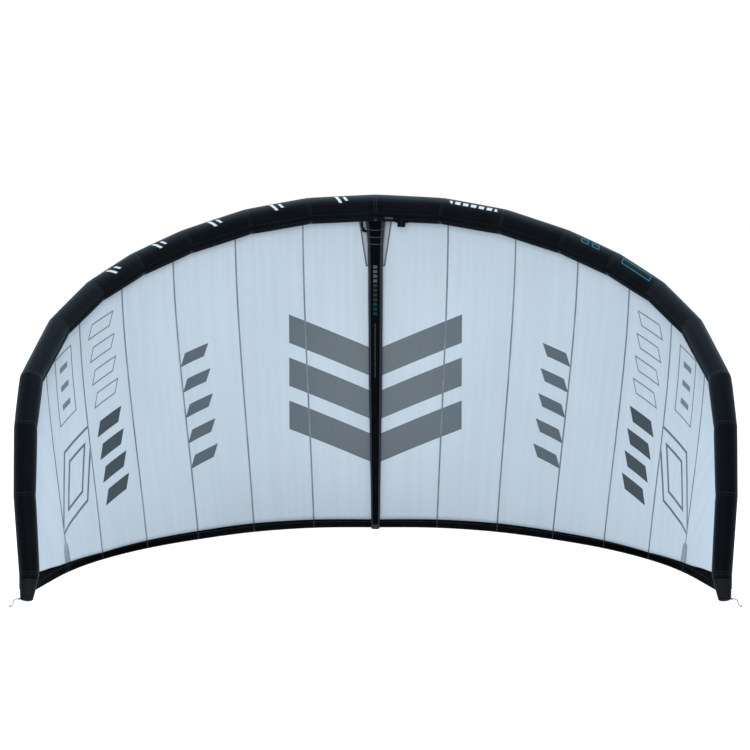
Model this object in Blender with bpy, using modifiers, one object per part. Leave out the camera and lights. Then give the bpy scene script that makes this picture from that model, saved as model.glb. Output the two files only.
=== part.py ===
"""A single-strut inflatable kite, standing on its wing tips and on the tail of its strut.

Metres, +Z up. The kite is seen along +Y from its hollow side, with its left side at -X. The origin is the
middle of the flat foot at the strut's tail. The leading edge is a polyline of sewn tube panels, and the
canopy is a lofted sheet from that tube to a trailing edge that stands on the ground.
"""

import math

import bmesh
import bpy
import numpy as np
from mathutils import Matrix, Vector

# The whole kite
HALF_SPAN = 1.619  # middle plane to the widest point of the leading edge's axis
TIP_REACH = 1.477  # how far the tips stand ahead of the middle of the leading edge
NOSE_HEIGHT = 1.752  # ground to the leading edge's axis at the middle
SEAM_GAP = 0.0003  # play between pieces that are sewn, pressed or glued together
CUT_OVERRUN = 0.01  # how far a cutter runs past what it cuts
TRAILING_EDGE_LIFT = 0.0005  # play between the trailing edge and the ground

# Leading edge
NOSE_DIAMETER = 0.140
SLEEVE_WALL = 0.001
BLADDER_PLAY = 0.0016
BLADDER_WALL = 0.0008
WELD_SHARE = 3.0  # how deep a nozzle reaches into its bladder, in bladder walls
TUBE_SIDES = 24
BLADDER_SIDES = 12

# Each joint of the leading edge: across, ahead, height, and the tube's girth there
JOINT_SHARES = (
    (0.000, 0.000, 1.000, 1.000),
    (0.218, 0.017, 0.990, 0.990),
    (0.415, 0.059, 0.957, 0.960),
    (0.606, 0.135, 0.898, 0.930),
    (0.752, 0.228, 0.833, 0.900),
    (0.867, 0.341, 0.759, 0.865),
    (0.952, 0.481, 0.667, 0.825),
    (1.000, 0.664, 0.539, 0.770),
    (0.992, 0.794, 0.424, 0.730),
    (0.977, 0.899, 0.258, 0.680),
    (0.955, 0.965, 0.065, 0.620),
    (0.957, 1.000, 0.0099, 0.410),
)
# How the tube's end is rounded off, as shares of its last radius: distance past the last joint, radius
TIP_ROUND_SHARES = ((0.18, 0.92), (0.30, 0.72))

# Canopy
CANOPY_THICKNESS = 0.0012
BAND_THICKNESS = 0.0016
BAND_WIDTH = 0.045
BAND_STATION_SHARES = (0.0, 1 / 3, 2 / 3, 1.0)
TAPE_THICKNESS = 0.0012
# Each rib: its place along the leading edge in joints, its trailing edge across and ahead, and its camber
RIB_SHARES = (
    (0.00, 0.000, -0.096, 0.0510),
    (1.07, 0.209, -0.087, 0.0500),
    (2.15, 0.407, -0.013, 0.0360),
    (3.18, 0.580, 0.114, 0.0260),
    (4.22, 0.727, 0.260, 0.0210),
    (5.22, 0.841, 0.432, 0.0175),
    (6.17, 0.914, 0.612, 0.0135),
    (10.60, 0.964, 0.850, 0.0000),
)
# The trailing edge band's width along the ribs, in shares of its width in the middle: rib place, width
BAND_WIDTH_SHARES = (
    (0.0, 1.0),
    (2.0, 1.08),
    (3.0, 1.02),
    (4.0, 0.92),
    (5.0, 0.79),
    (6.0, 1.0),
    (6.2, 1.05),
    (6.4, 1.28),
    (6.6, 1.56),
    (6.7, 1.82),
    (6.76, 2.2),
    (6.80, 2.7),
    (6.84, 3.6),
    (6.88, 5.6),
)
CANOPY_END_RIB_SHARE = 6.88
# Stations along a chord, from the leading edge to the band
CHORD_SHARES = (0.0, 0.02, 0.05, 0.08, 0.12, 0.20, 0.27, 0.35, 0.45, 0.57, 0.70, 0.76, 0.81, 0.90, 1.0)
PANEL_COLUMNS = 3
# Rib places across the last panel, and past it in the band's corner
LAST_PANEL_SHARES = (6.09, 6.26, 6.34, 6.5, 6.57, 6.7, 6.75, 6.79, 6.83)
CORNER_SHARES = (6.92, 6.96, 7.0)
JOINT_PLAY_SHARE = 0.005  # a joint this close to a panel's edge gets no column of its own
COLUMN_PLAY_SHARE = 0.02  # a step this close to a joint's column is left out
KINK_FADE_POWER = 6
CAMBER_PEAK_SHARE = 6.75  # makes the camber curve t (1 - t)^2 peak at 1

# Strut
STRUT_DIAMETER = 0.0785
TAIL_CAP_HEIGHT = 0.026
TAIL_BEVEL = 0.0028
STRUT_SIDES = 20
# The strut's stations: chord share, and its girth there
STRUT_SHARES = (
    (0.02, 1.32),
    (0.05, 1.31),
    (0.08, 1.20),
    (0.12, 1.08),
    (0.20, 1.0),
    (0.27, 1.0),
    (0.35, 0.985),
    (0.45, 0.96),
    (0.57, 0.92),
    (0.70, 0.81),
    (0.76, 0.77),
    (0.81, 0.75),
    (0.90, 0.655),
    (1.00, 0.60),
)
STRUT_BLADDER_START_SHARE = 0.05

# Reinforcement patches beside the strut: rib place of the inner edge, and of the outer edge at each
# station of CHORD_SHARES after the first
PATCH_THICKNESS = 0.0010
PATCH_PLAY = 0.0008
PATCH_INNER_SHARE = 0.085
PATCH_OUTER_SHARES = (0.249, 0.230, 0.210, 0.185, 0.133)

# One-pump hose between the two bladders
HOSE_DIAMETER = 0.0095
PORT_DIAMETER = 0.0130
PORT_CLEARANCE = 0.0008
PORT_STICKS_OUT = 0.010
PORT_PLACE_SHARE = -0.21
ELBOW_STICKS_OUT = 0.017
ELBOW_KNEE = 0.00325
PORT_ANGLE = math.radians(-10)
STRUT_PORT_PLACE_SHARE = 0.081
ELBOW_RISE = 0.011
ELBOW_LEAN_SHARE = 0.4
HOSE_REACH = 0.007
HOSE_POINTS = 11

# Clip on the hose
CLIP_LENGTH = 0.010
CLIP_WIDTH = 0.020
CLIP_PLATE = 0.0025
CLIP_PLACE_SHARE = 0.8

# Inflation valve
VALVE_PLACE_SHARE = 0.398
VALVE_ANGLE = math.radians(-10)
FLANGE_RADIUS = 0.036
FLANGE_TOP = 0.003
FLANGE_DRAPE = 0.016
FLANGE_LAP = 0.001  # how far the flange and the neck run into each other
NECK_RADIUS = 0.0175
NECK_CLEARANCE = 0.0010
NECK_DEPTH = 0.014
VALVE_BORE = 0.0145
INSERT_PLAY = 0.0003
INSERT_DEPTH = 0.012
INSERT_BORE = 0.0108
COLLAR_RADIUS = 0.0210
COLLAR_TOP = 0.010
SHOULDER_HEIGHT = 0.005
GRIP_LENGTH = 0.0015
GRIP_WIDTH = 0.010
GRIP_MARGIN = 0.001
FLAP_THICKNESS = 0.0014
FLAP_OVERLAP = 0.0012
CAP_HEIGHT = 0.010
CAP_PLUG_DEPTH = 0.0028
CAP_PLUG_PLAY = 0.0008
CAP_EDGE = 0.0015
VALVE_SEGMENTS = 32

# Batten and its pocket at the outermost rib, by the trailing edge
POCKET_LENGTH = 0.085
POCKET_WIDTH = 0.048
POCKET_THICKNESS = 0.0060
BATTEN_WIDTH = 0.0070
BATTEN_THICKNESS = 0.0022
BATTEN_PLAY = 0.0004
BATTEN_END_PLAY = 0.012
BATTEN_INSET = 0.004
POCKET_BACK = 0.0085  # from the pocket's open end to the trailing edge band
POCKET_LIFT = 0.0012
# Half of the pocket's outline, from its open end: across in half widths of the mouth, along in half lengths
POCKET_OUTLINE_SHARES = ((1.0, 1.0), (0.96, -0.45), (0.45, -0.96), (0.0, -1.0))

# Line attachment at the tips
LOOP_LENGTH = 0.007
LOOP_WIDTH = 0.012
LOOP_THICKNESS = 0.004
LOOP_HEIGHT = 0.016
CORD_DIAMETER = 0.0034
CORD_SPACING = 0.0085
# The pigtail's route from the loop's end, on the right side
PIGTAIL_ROUTE = (
    (0.0000, 0.0000, 0.0160),
    (0.0090, -0.0005, 0.0158),
    (0.0170, -0.0030, 0.0125),
    (0.0210, -0.0110, 0.0065),
    (0.0195, -0.0230, 0.0021),
    (0.0155, -0.0400, 0.0019),
    (0.0150, -0.0600, 0.0019),
    (0.0190, -0.0780, 0.0019),
)

LAST_JOINT = len(JOINT_SHARES) - 1
LAST_RIB = len(RIB_SHARES) - 1
SMALL_STEP_SHARE = 0.01
MERGE_DISTANCE = 0.00001
SHARP_ANGLE = math.radians(35)
SEAT = SEAM_GAP + BAND_THICKNESS / 2  # canopy's middle surface over the tube it is sewn to
TAIL_RADIUS = STRUT_DIAMETER * STRUT_SHARES[-1][1] / 2
NOSE_Y = RIB_SHARES[0][2] * TIP_REACH + TAIL_RADIUS + SEAT

BLACK = (0.012, 0.016, 0.022, 1.0)
CHARCOAL = (0.035, 0.042, 0.052, 1.0)
PALE_BLUE = (0.52, 0.63, 0.74, 1.0)
FILM = (0.55, 0.60, 0.62, 1.0)
PALE_ROD = (0.60, 0.60, 0.55, 1.0)
GREY_CORD = (0.25, 0.25, 0.25, 1.0)


def mirrored_table(rows, signs):
    """The right half's rows, led by the same rows for the left half."""
    right = np.array(rows, dtype=float)
    return np.vstack([right[:0:-1] * np.array(signs), right])


JOINTS = mirrored_table(JOINT_SHARES, (-1, 1, 1, 1))
RIBS = mirrored_table(RIB_SHARES, (-1, -1, 1, 1))
JOINT_NUMBERS = np.arange(-LAST_JOINT, LAST_JOINT + 1)
RIB_NUMBERS = np.arange(-LAST_RIB, LAST_RIB + 1)
JOINT_POINTS = [
    Vector((across * HALF_SPAN, NOSE_Y - ahead * TIP_REACH, height * NOSE_HEIGHT))
    for across, ahead, height, _ in JOINTS
]
TRAILING_POINTS = [
    Vector((across * HALF_SPAN, NOSE_Y - ahead * TIP_REACH, TRAILING_EDGE_LIFT))
    for _, across, ahead, _ in RIBS
]


def smooth_point(points, place):
    """A point on the smooth curve through the given points; the first one is at place zero."""
    last = len(points) - 1
    low = min(max(int(math.floor(place)), 0), last - 1)
    f = place - low
    p1, p2 = points[low], points[low + 1]
    p0 = points[low - 1] if low > 0 else p1 * 2 - p2
    p3 = points[low + 2] if low + 2 <= last else p2 * 2 - p1
    near = p1 * 2 + (p2 - p0) * f
    return (near + (p0 * 2 - p1 * 5 + p2 * 4 - p3) * f**2 + (p1 * 3 - p0 - p2 * 3 + p3) * f**3) / 2


def tube_radius(joint):
    return NOSE_DIAMETER / 2 * float(np.interp(joint, JOINT_NUMBERS, JOINTS[:, 3]))


def smooth_axis(joint):
    return smooth_point(JOINT_POINTS, joint + LAST_JOINT)


def trailing_point(rib):
    return smooth_point(TRAILING_POINTS, rib + LAST_RIB)


def joint_of_rib(rib):
    return float(np.interp(rib, RIB_NUMBERS, RIBS[:, 0]))


def rib_of_joint(joint):
    return float(np.interp(joint, RIBS[:, 0], RIB_NUMBERS))


def tube_frame(number):
    """Along, aft and outward directions of the tube at a whole joint; its ring lies in the mitre plane."""
    i = number + LAST_JOINT
    before = (JOINT_POINTS[i] - JOINT_POINTS[max(i - 1, 0)]).normalized()
    after = (JOINT_POINTS[min(i + 1, 2 * LAST_JOINT)] - JOINT_POINTS[i]).normalized()
    along = (before + after).normalized()
    chord = trailing_point(rib_of_joint(number)) - JOINT_POINTS[i]
    aft = (chord - along * chord.dot(along)).normalized()
    return along, aft, along.cross(aft)


TUBE_FRAMES = {int(number): tube_frame(int(number)) for number in JOINT_NUMBERS}


def ring_point(number, angle, radius, shift=0.0):
    """A point around a whole joint: angle 0 faces aft, a quarter turn faces the canopy's outer side."""
    along, aft, outward = TUBE_FRAMES[number]
    centre = JOINT_POINTS[number + LAST_JOINT] + along * shift
    return centre + (aft * math.cos(angle) + outward * math.sin(angle)) * radius


def tube_point(joint, angle, over=0.0):
    """A point over the tube's surface, on the straight line between its two neighbouring rings."""
    low = min(int(math.floor(joint)), LAST_JOINT - 1)
    low = max(low, -LAST_JOINT)
    first = ring_point(low, angle, tube_radius(low) + over)
    second = ring_point(low + 1, angle, tube_radius(low + 1) + over)
    return first.lerp(second, joint - low)


def chord_length(rib):
    return (trailing_point(rib) - smooth_axis(joint_of_rib(rib))).length


def camber(rib):
    return float(np.interp(rib, RIB_NUMBERS, RIBS[:, 3]))


def front_point(rib):
    """Where the canopy leaves the tube, tangent to it."""
    joint = joint_of_rib(rib)
    rise = math.atan(CAMBER_PEAK_SHARE * camber(rib)) - math.asin(tube_radius(joint) / chord_length(rib))
    return tube_point(joint, math.pi / 2 + rise, SEAT)


def rib_outward(rib):
    """The sail's outward direction at a rib, square to its chord."""
    joint = joint_of_rib(rib)
    before = smooth_axis(max(joint - SMALL_STEP_SHARE, -LAST_JOINT))
    after = smooth_axis(min(joint + SMALL_STEP_SHARE, LAST_JOINT))
    chord = trailing_point(rib) - smooth_axis(joint)
    return (after - before).cross(chord).normalized()


def sail_point(rib, t):
    """A point on the canopy's middle surface: t is 0 at the leading edge and 1 at the trailing edge."""
    joint = joint_of_rib(rib)
    low = min(max(int(math.floor(joint)), -LAST_JOINT), LAST_JOINT - 1)
    straight = JOINT_POINTS[low + LAST_JOINT].lerp(JOINT_POINTS[low + LAST_JOINT + 1], joint - low)
    kink = straight - smooth_axis(joint)
    front = front_point(rib)
    level = (front - kink).lerp(trailing_point(rib), t)
    height = chord_length(rib) * camber(rib) * CAMBER_PEAK_SHARE * t * (1 - t) ** 2
    return level + rib_outward(rib) * height + kink * (1 - t) ** KINK_FADE_POWER


def sail_normal(rib, t):
    """The canopy's outward normal."""
    step = SMALL_STEP_SHARE
    along = sail_point(rib + step, t) - sail_point(rib - step, t)
    back = sail_point(rib, min(t + step, 1)) - sail_point(rib, max(t - step, 0))
    return along.cross(back).normalized()


def band_start(rib):
    """The chord share where the trailing edge band starts; it reaches the leading edge near the tips."""
    places, widths = zip(*BAND_WIDTH_SHARES)
    width = BAND_WIDTH * float(np.interp(abs(rib), places, widths))
    return max(0.0, 1 - width / chord_length(rib))


def new_collection(name):
    collection = bpy.data.collections.new(name)
    bpy.context.scene.collection.children.link(collection)
    return collection


def material(name, colour):
    made = bpy.data.materials.new(name)
    made.use_nodes = True
    made.node_tree.nodes["Principled BSDF"].inputs["Base Color"].default_value = colour
    made.diffuse_color = colour
    return made


def mesh_object(name, bm, collection, colour=BLACK, recalculate=True):
    if recalculate:
        bmesh.ops.recalc_face_normals(bm, faces=bm.faces)
    mesh = bpy.data.meshes.new(name)
    bm.to_mesh(mesh)
    bm.free()
    obj = bpy.data.objects.new(name, mesh)
    collection.objects.link(obj)
    mesh.materials.append(material(name, colour))
    return obj


def smooth(obj):
    obj.data.shade_smooth()
    obj.data.set_sharp_from_angle(angle=SHARP_ANGLE)
    return obj


def loft(bm, rings, closed=True):
    """Joins rings of points with quads and returns the rings of vertices."""
    rows = [[bm.verts.new(point) for point in ring] for ring in rings]
    for first, second in zip(rows, rows[1:]):
        count = len(first)
        for i in range(count if closed else count - 1):
            j = (i + 1) % count
            bm.faces.new((first[i], first[j], second[j], second[i]))
    return rows


def join_rims(bm, first, second):
    for i in range(len(first)):
        j = (i + 1) % len(first)
        bm.faces.new((first[i], first[j], second[j], second[i]))


def tube_shell(name, outer, inner, collection, closed_end=False, **look):
    """A walled tube through outer and inner rings, open at its start, and open or closed at its end."""
    bm = bmesh.new()
    skin = loft(bm, outer)
    lining = loft(bm, inner)
    join_rims(bm, skin[0], lining[0])
    if closed_end:
        bm.faces.new(skin[-1])
        bm.faces.new(lining[-1])
    else:
        join_rims(bm, skin[-1], lining[-1])
    return smooth(mesh_object(name, bm, collection, **look))


def solid_tube(name, rings, collection, **look):
    bm = bmesh.new()
    rows = loft(bm, rings)
    bm.faces.new(rows[0])
    bm.faces.new(rows[-1])
    return smooth(mesh_object(name, bm, collection, **look))


def sheet(name, rows, thickness, collection, **look):
    """A sewn sheet: the surface through rows of points, given its thickness on both sides."""
    bm = bmesh.new()
    loft(bm, rows, closed=False)
    obj = mesh_object(name, bm, collection, recalculate=False, **look)
    solidify = obj.modifiers.new("Thickness", "SOLIDIFY")
    solidify.thickness = thickness
    solidify.offset = 0
    return obj


def boolean(obj, operation, other):
    modifier = obj.modifiers.new(operation.title(), "BOOLEAN")
    modifier.operation = operation
    modifier.solver = "EXACT"
    modifier.object = other


def helper(obj):
    obj.hide_render = True
    obj.display_type = "WIRE"
    return obj


def around(sides):
    return [2 * math.pi * i / sides for i in range(sides)]


def circle(centre, first, second, radius, sides):
    return [centre + (first * math.cos(a) + second * math.sin(a)) * radius for a in around(sides)]


def joint_ring(number, inset, shift, sides):
    radius = tube_radius(number) - inset
    return [ring_point(number, angle, radius, shift) for angle in around(sides)]


def tip_rings(side, inset, sides):
    """The rounded end's rings past the last joint, drawn in by inset."""
    radius = tube_radius(LAST_JOINT)
    rings = []
    for distance, girth in TIP_ROUND_SHARES:
        shift = side * (distance * radius - inset)
        rings.append(
            [ring_point(side * LAST_JOINT, a, girth * radius - inset, shift) for a in around(sides)]
        )
    return rings


def leading_edge_cutter(over, cutters, name):
    """A solid that fills the middle of the leading edge and stands over it by a gap."""
    rings = [joint_ring(number, -over, 0.0, TUBE_SIDES) for number in (-1, 0, 1)]
    return helper(solid_tube(name, rings, cutters))


def side_name(stem, number, side):
    return f"{stem}_{'left' if side < 0 else 'right'}_{number:02d}"


def leading_edge_panels(parts):
    """The sewn panels of the tube, mitred to each other, with a closed and rounded one at each tip."""
    panels = {}
    half = SEAM_GAP / 2
    for side in (-1, 1):
        for number in range(1, LAST_JOINT + 1):
            near, far = side * (number - 1), side * number
            is_tip = number == LAST_JOINT
            end_shift = 0.0 if is_tip else -side * half
            shells = []
            for inset in (0.0, SLEEVE_WALL):
                rings = [
                    joint_ring(near, inset, side * half, TUBE_SIDES),
                    joint_ring(far, inset, end_shift, TUBE_SIDES),
                ]
                if is_tip:
                    rings += tip_rings(side, inset, TUBE_SIDES)
                shells.append(rings)
            stem = "tip_cap" if is_tip else "leading_edge_panel"
            name = f"{stem}_{'left' if side < 0 else 'right'}" if is_tip else side_name(stem, number, side)
            panels[far] = tube_shell(
                name, *shells, parts, closed_end=is_tip, colour=CHARCOAL if is_tip else BLACK
            )
    return panels


def leading_edge_bladder(parts):
    rings = []
    for inset in (SLEEVE_WALL + BLADDER_PLAY, SLEEVE_WALL + BLADDER_PLAY + BLADDER_WALL):
        rings.append([joint_ring(int(n), inset, 0.0, BLADDER_SIDES) for n in JOINT_NUMBERS])
    return tube_shell("leading_edge_bladder", *rings, parts, colour=FILM)


def seam_tape(parts):
    """The tape over the tube's closing seam, on two facets of its hollow, aft side."""
    step = 2 * math.pi / TUBE_SIDES
    rows = []
    for number in JOINT_NUMBERS[1:-1]:
        radius = tube_radius(number) + SEAM_GAP + TAPE_THICKNESS / 2
        rows.append([ring_point(int(number), -facet * step, radius) for facet in (5, 4, 3)])
    return sheet("leading_edge_seam_tape", rows, TAPE_THICKNESS, parts, colour=CHARCOAL)


def panel_columns(number):
    """Rib places across a panel on the right side: its steps, and the joints of the leading edge."""
    low = number - 1
    high = number
    steps = [low + i / PANEL_COLUMNS for i in range(1, PANEL_COLUMNS)]
    if number == LAST_RIB:
        high = CANOPY_END_RIB_SHARE
        steps = LAST_PANEL_SHARES
    at_joints = [rib_of_joint(n) for n in range(LAST_JOINT)]
    at_joints = [rib for rib in at_joints if low + JOINT_PLAY_SHARE < rib < high - JOINT_PLAY_SHARE]
    kept = [rib for rib in steps if all(abs(rib - other) > COLUMN_PLAY_SHARE for other in at_joints)]
    return sorted([low, high] + at_joints + kept)


def canopy_panels(parts):
    for side in (-1, 1):
        for number in range(1, LAST_RIB + 1):
            columns = sorted(side * rib for rib in panel_columns(number))
            rows = []
            for rib in columns:
                inward = 0
                if rib == columns[0]:
                    inward = 1
                if rib == columns[-1]:
                    inward = -1
                edge = band_start(rib) - SEAM_GAP / chord_length(rib)
                rows.append([panel_point(rib, edge * share, inward) for share in CHORD_SHARES])
            name = side_name("canopy_panel", number, side)
            sheet(name, rows, CANOPY_THICKNESS, parts, colour=PALE_BLUE)


def panel_point(rib, t, inward):
    """A canopy point, drawn in from the panel's edge by half the seam gap."""
    point = sail_point(rib, t)
    if not inward:
        return point
    along = sail_point(rib + inward * SMALL_STEP_SHARE, t) - point
    return point + along.normalized() * SEAM_GAP / 2


def band_columns():
    """The canopy's rib places and, past its last one, those of the tip's corner."""
    right = sorted({rib for number in range(1, LAST_RIB + 1) for rib in panel_columns(number)})
    right += list(CORNER_SHARES)
    return [-rib for rib in right[:0:-1]] + right


def trailing_edge_band(parts):
    rows = []
    for rib in band_columns():
        start = band_start(rib)
        rows.append([sail_point(rib, start + (1 - start) * share) for share in BAND_STATION_SHARES])
    return sheet("trailing_edge_band", rows, BAND_THICKNESS, parts, colour=BLACK)


def strut_radius(share):
    return STRUT_DIAMETER / 2 * float(np.interp(share, *zip(*STRUT_SHARES)))


def strut_rings(start_share, inset):
    """Rings of the strut, whose outer side lies along the canopy's middle chord."""
    shares = [share for share, _ in STRUT_SHARES if share >= start_share]
    return [strut_ring(share * band_start(0), strut_radius(share), inset) for share in shares]


def strut_centre(t, radius):
    return sail_point(0, t) - sail_normal(0, t) * (radius + SEAT)


def strut_ring(t, radius, inset):
    outward = sail_normal(0, t)
    return circle(strut_centre(t, radius), outward, Vector((1, 0, 0)), radius - inset, STRUT_SIDES)


def tail_centre():
    """Where the strut's axis passes the top of its tail cap."""
    low, high = strut_centre(band_start(0), TAIL_RADIUS), strut_centre(1, TAIL_RADIUS)
    share = (low.z - TAIL_CAP_HEIGHT) / (low.z - high.z)
    return low.lerp(high, share)


def strut_sleeve(parts, cutter):
    shells = []
    for inset in (0.0, SLEEVE_WALL):
        last = circle(tail_centre(), Vector((0, 1, 0)), Vector((1, 0, 0)), TAIL_RADIUS - inset, STRUT_SIDES)
        shells.append(strut_rings(STRUT_SHARES[0][0], inset) + [last])
    sleeve = tube_shell("strut_sleeve", *shells, parts)
    boolean(sleeve, "DIFFERENCE", cutter)
    return sleeve


def strut_bladder(parts, cutter):
    inset = SLEEVE_WALL + BLADDER_PLAY
    rings = [strut_rings(STRUT_BLADDER_START_SHARE, i) for i in (inset, inset + BLADDER_WALL)]
    bladder = tube_shell("strut_bladder", *rings, parts, colour=FILM)
    boolean(bladder, "DIFFERENCE", cutter)
    return bladder


def strut_tail_cap(parts):
    """The flat-footed end that the strut stands on."""
    height = TAIL_CAP_HEIGHT - SEAM_GAP
    bm = bmesh.new()
    place = Matrix.Translation(Vector((tail_centre().x, tail_centre().y, height / 2)))
    bmesh.ops.create_cone(
        bm, cap_ends=True, segments=STRUT_SIDES, radius1=TAIL_RADIUS, radius2=TAIL_RADIUS, depth=height, matrix=place
    )
    foot = [edge for edge in bm.edges if all(v.co.z < height / 2 for v in edge.verts)]
    bmesh.ops.bevel(bm, geom=foot, offset=TAIL_BEVEL, segments=2, affect="EDGES", profile=0.5)
    return smooth(mesh_object("strut_tail_cap", bm, parts, colour=CHARCOAL))


def strut_patches(parts):
    """The reinforcement sewn to the canopy's hollow side beside the strut."""
    sink = (CANOPY_THICKNESS + PATCH_THICKNESS) / 2 + PATCH_PLAY
    column = 1 / PANEL_COLUMNS
    for side in (-1, 1):
        rows = []
        for share, outer in zip(CHORD_SHARES[1:], PATCH_OUTER_SHARES):
            inside = sail_point(0, share * band_start(0))
            outside = sail_point(side * column, share * band_start(column))
            normal = sail_normal(side * column / 2, share)
            ribs = (PATCH_INNER_SHARE, outer)
            rows.append([inside.lerp(outside, rib / column) - normal * sink for rib in ribs])
        name = f"strut_patch_{'left' if side < 0 else 'right'}"
        sheet(name, rows, PATCH_THICKNESS, parts, colour=PALE_BLUE)


def curve_tube(name, points, diameter, collection, **look):
    """A tube along points, as a mesh with its caps welded."""
    curve = bpy.data.curves.new(name, "CURVE")
    curve.dimensions = "3D"
    curve.bevel_depth = diameter / 2
    curve.bevel_resolution = 2
    curve.use_fill_caps = True
    spline = curve.splines.new("POLY")
    spline.points.add(len(points) - 1)
    for target, point in zip(spline.points, points):
        target.co = (*point, 1)
    bent = bpy.data.objects.new(name + "_curve", curve)
    collection.objects.link(bent)
    evaluated = bent.evaluated_get(bpy.context.evaluated_depsgraph_get())
    bm = bmesh.new()
    bm.from_mesh(bpy.data.meshes.new_from_object(evaluated))
    bmesh.ops.remove_doubles(bm, verts=bm.verts, dist=MERGE_DISTANCE)
    bpy.data.objects.remove(bent)
    return smooth(mesh_object(name, bm, collection, **look))


def bezier(p0, p1, p2, p3, count):
    points = []
    for i in range(count):
        f = i / (count - 1)
        points.append(p0 * (1 - f) ** 3 + p1 * 3 * f * (1 - f) ** 2 + p2 * 3 * f**2 * (1 - f) + p3 * f**3)
    return points


def tube_direction(joint, angle):
    """The direction that points out of the leading edge at an angle."""
    return (tube_point(joint, angle, NOSE_DIAMETER) - tube_point(joint, angle)).normalized()


def hose_ports(parts, cutters, panel, le_bladder, sleeve, s_bladder):
    """The nozzles welded to the two bladders, which pass through holes in the sleeves."""
    root_depth = SLEEVE_WALL + BLADDER_PLAY + BLADDER_WALL * WELD_SHARE
    hole = PORT_DIAMETER + 2 * PORT_CLEARANCE

    out = tube_direction(PORT_PLACE_SHARE, PORT_ANGLE)
    skin = tube_point(PORT_PLACE_SHARE, PORT_ANGLE)
    nozzle = [skin - out * root_depth, skin, skin + out * PORT_STICKS_OUT]
    boolean(le_bladder, "UNION", helper(curve_tube("leading_edge_nozzle", nozzle, PORT_DIAMETER, cutters)))
    opening = [skin - out * CUT_OVERRUN, skin + out * CUT_OVERRUN]
    boolean(panel, "DIFFERENCE", helper(curve_tube("leading_edge_nozzle_hole", opening, hole, cutters)))

    t = STRUT_PORT_PLACE_SHARE * band_start(0)
    radius = strut_radius(STRUT_PORT_PLACE_SHARE)
    side = strut_centre(t, radius) - Vector((radius, 0, 0))
    left = Vector((-1, 0, 0))
    knee = side + left * ELBOW_STICKS_OUT
    up = skin + out * PORT_STICKS_OUT - knee
    up.x *= ELBOW_LEAN_SHARE
    up.normalize()
    elbow = [side - left * root_depth, side, knee - left * ELBOW_KNEE, knee + up * ELBOW_KNEE]
    elbow.append(knee + up * ELBOW_RISE)
    boolean(s_bladder, "UNION", helper(curve_tube("strut_elbow", elbow, PORT_DIAMETER, cutters)))
    opening = [side - left * CUT_OVERRUN, side + left * CUT_OVERRUN]
    boolean(sleeve, "DIFFERENCE", helper(curve_tube("strut_elbow_hole", opening, hole, cutters)))

    start = nozzle[-1] + out * SEAM_GAP
    end = elbow[-1] + up * SEAM_GAP
    return start, out, end, up


def pump_hose(parts, start, out, end, up):
    first, last = start + out * HOSE_DIAMETER, end + up * HOSE_DIAMETER
    route = bezier(first, first + out * HOSE_REACH, last + up * HOSE_REACH, last, HOSE_POINTS)
    route = [start] + route + [end]
    curve_tube("pump_hose", route, HOSE_DIAMETER, parts, colour=BLACK)
    return route


def box(bm, low, high):
    """Adds a box between two corners."""
    size = Vector(high) - Vector(low)
    place = Matrix.Translation((Vector(low) + Vector(high)) / 2) @ Matrix.Diagonal((*size, 1))
    bmesh.ops.create_cube(bm, size=1, matrix=place)


def hose_clip(parts, cutters, route):
    """A two-jaw pinch clip round the hose; the lever turns about the hose's own direction."""
    place = round(len(route) * CLIP_PLACE_SHARE)
    middle = route[place]
    along = (route[place + 1] - route[place - 1]).normalized()
    left_side = Vector((-1, 0, 0))
    front = (left_side - along * left_side.dot(along)).normalized()
    across = along.cross(front)
    frame = Matrix((across, along, front)).transposed().to_4x4()
    jaw = HOSE_DIAMETER / 2 + SEAM_GAP
    half = CLIP_LENGTH / 2
    outer = jaw + CLIP_PLATE
    left, right = -CLIP_WIDTH / 2, CLIP_WIDTH / 2
    hinge = Matrix.Translation(middle) @ frame @ Matrix.Translation((left, 0, 0))
    for name, sign in (("hose_clip_base", -1), ("hose_clip_lever", 1)):
        bm = bmesh.new()
        box(bm, (0, -half, jaw), (right - left, half, outer))
        plate = mesh_object(name, bm, parts, colour=CHARCOAL)
        bm = bmesh.new()
        box(bm, (0, -half, SEAM_GAP / 2), (CLIP_PLATE, half, outer - SEAM_GAP))
        wall = helper(mesh_object(name + "_wall", bm, cutters))
        turn = Matrix.Identity(4) if sign > 0 else Matrix.Diagonal((1, 1, -1, 1))
        for obj in (plate, wall):
            obj.data.transform(turn)
            if sign < 0:
                obj.data.flip_normals()
            obj.matrix_world = hinge
        boolean(plate, "UNION", wall)


def turned(name, profile, place, collection, closed=False, **look):
    """A profile of (radius, height) points, run down its outer side, turned about local Z."""
    bm = bmesh.new()
    verts = [bm.verts.new((radius, 0, height)) for radius, height in profile]
    for first, second in zip(verts, verts[1:]):
        bm.edges.new((first, second))
    if closed:
        bm.edges.new((verts[-1], verts[0]))
    obj = mesh_object(name, bm, collection, recalculate=False, **look)
    obj.matrix_world = place
    screw = obj.modifiers.new("Turn", "SCREW")
    screw.angle = 2 * math.pi
    screw.steps = VALVE_SEGMENTS
    screw.render_steps = VALVE_SEGMENTS
    screw.use_merge_vertices = True
    screw.merge_threshold = MERGE_DISTANCE
    return obj


def valve_frame():
    """The valve's own frame: its origin on the tube's surface, Z pointing out, X along the tube."""
    out = tube_direction(VALVE_PLACE_SHARE, VALVE_ANGLE)
    along = TUBE_FRAMES[0][0]
    along = (along - out * along.dot(out)).normalized()
    frame = Matrix((along, out.cross(along), out)).transposed().to_4x4()
    return Matrix.Translation(tube_point(VALVE_PLACE_SHARE, VALVE_ANGLE)) @ frame


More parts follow.
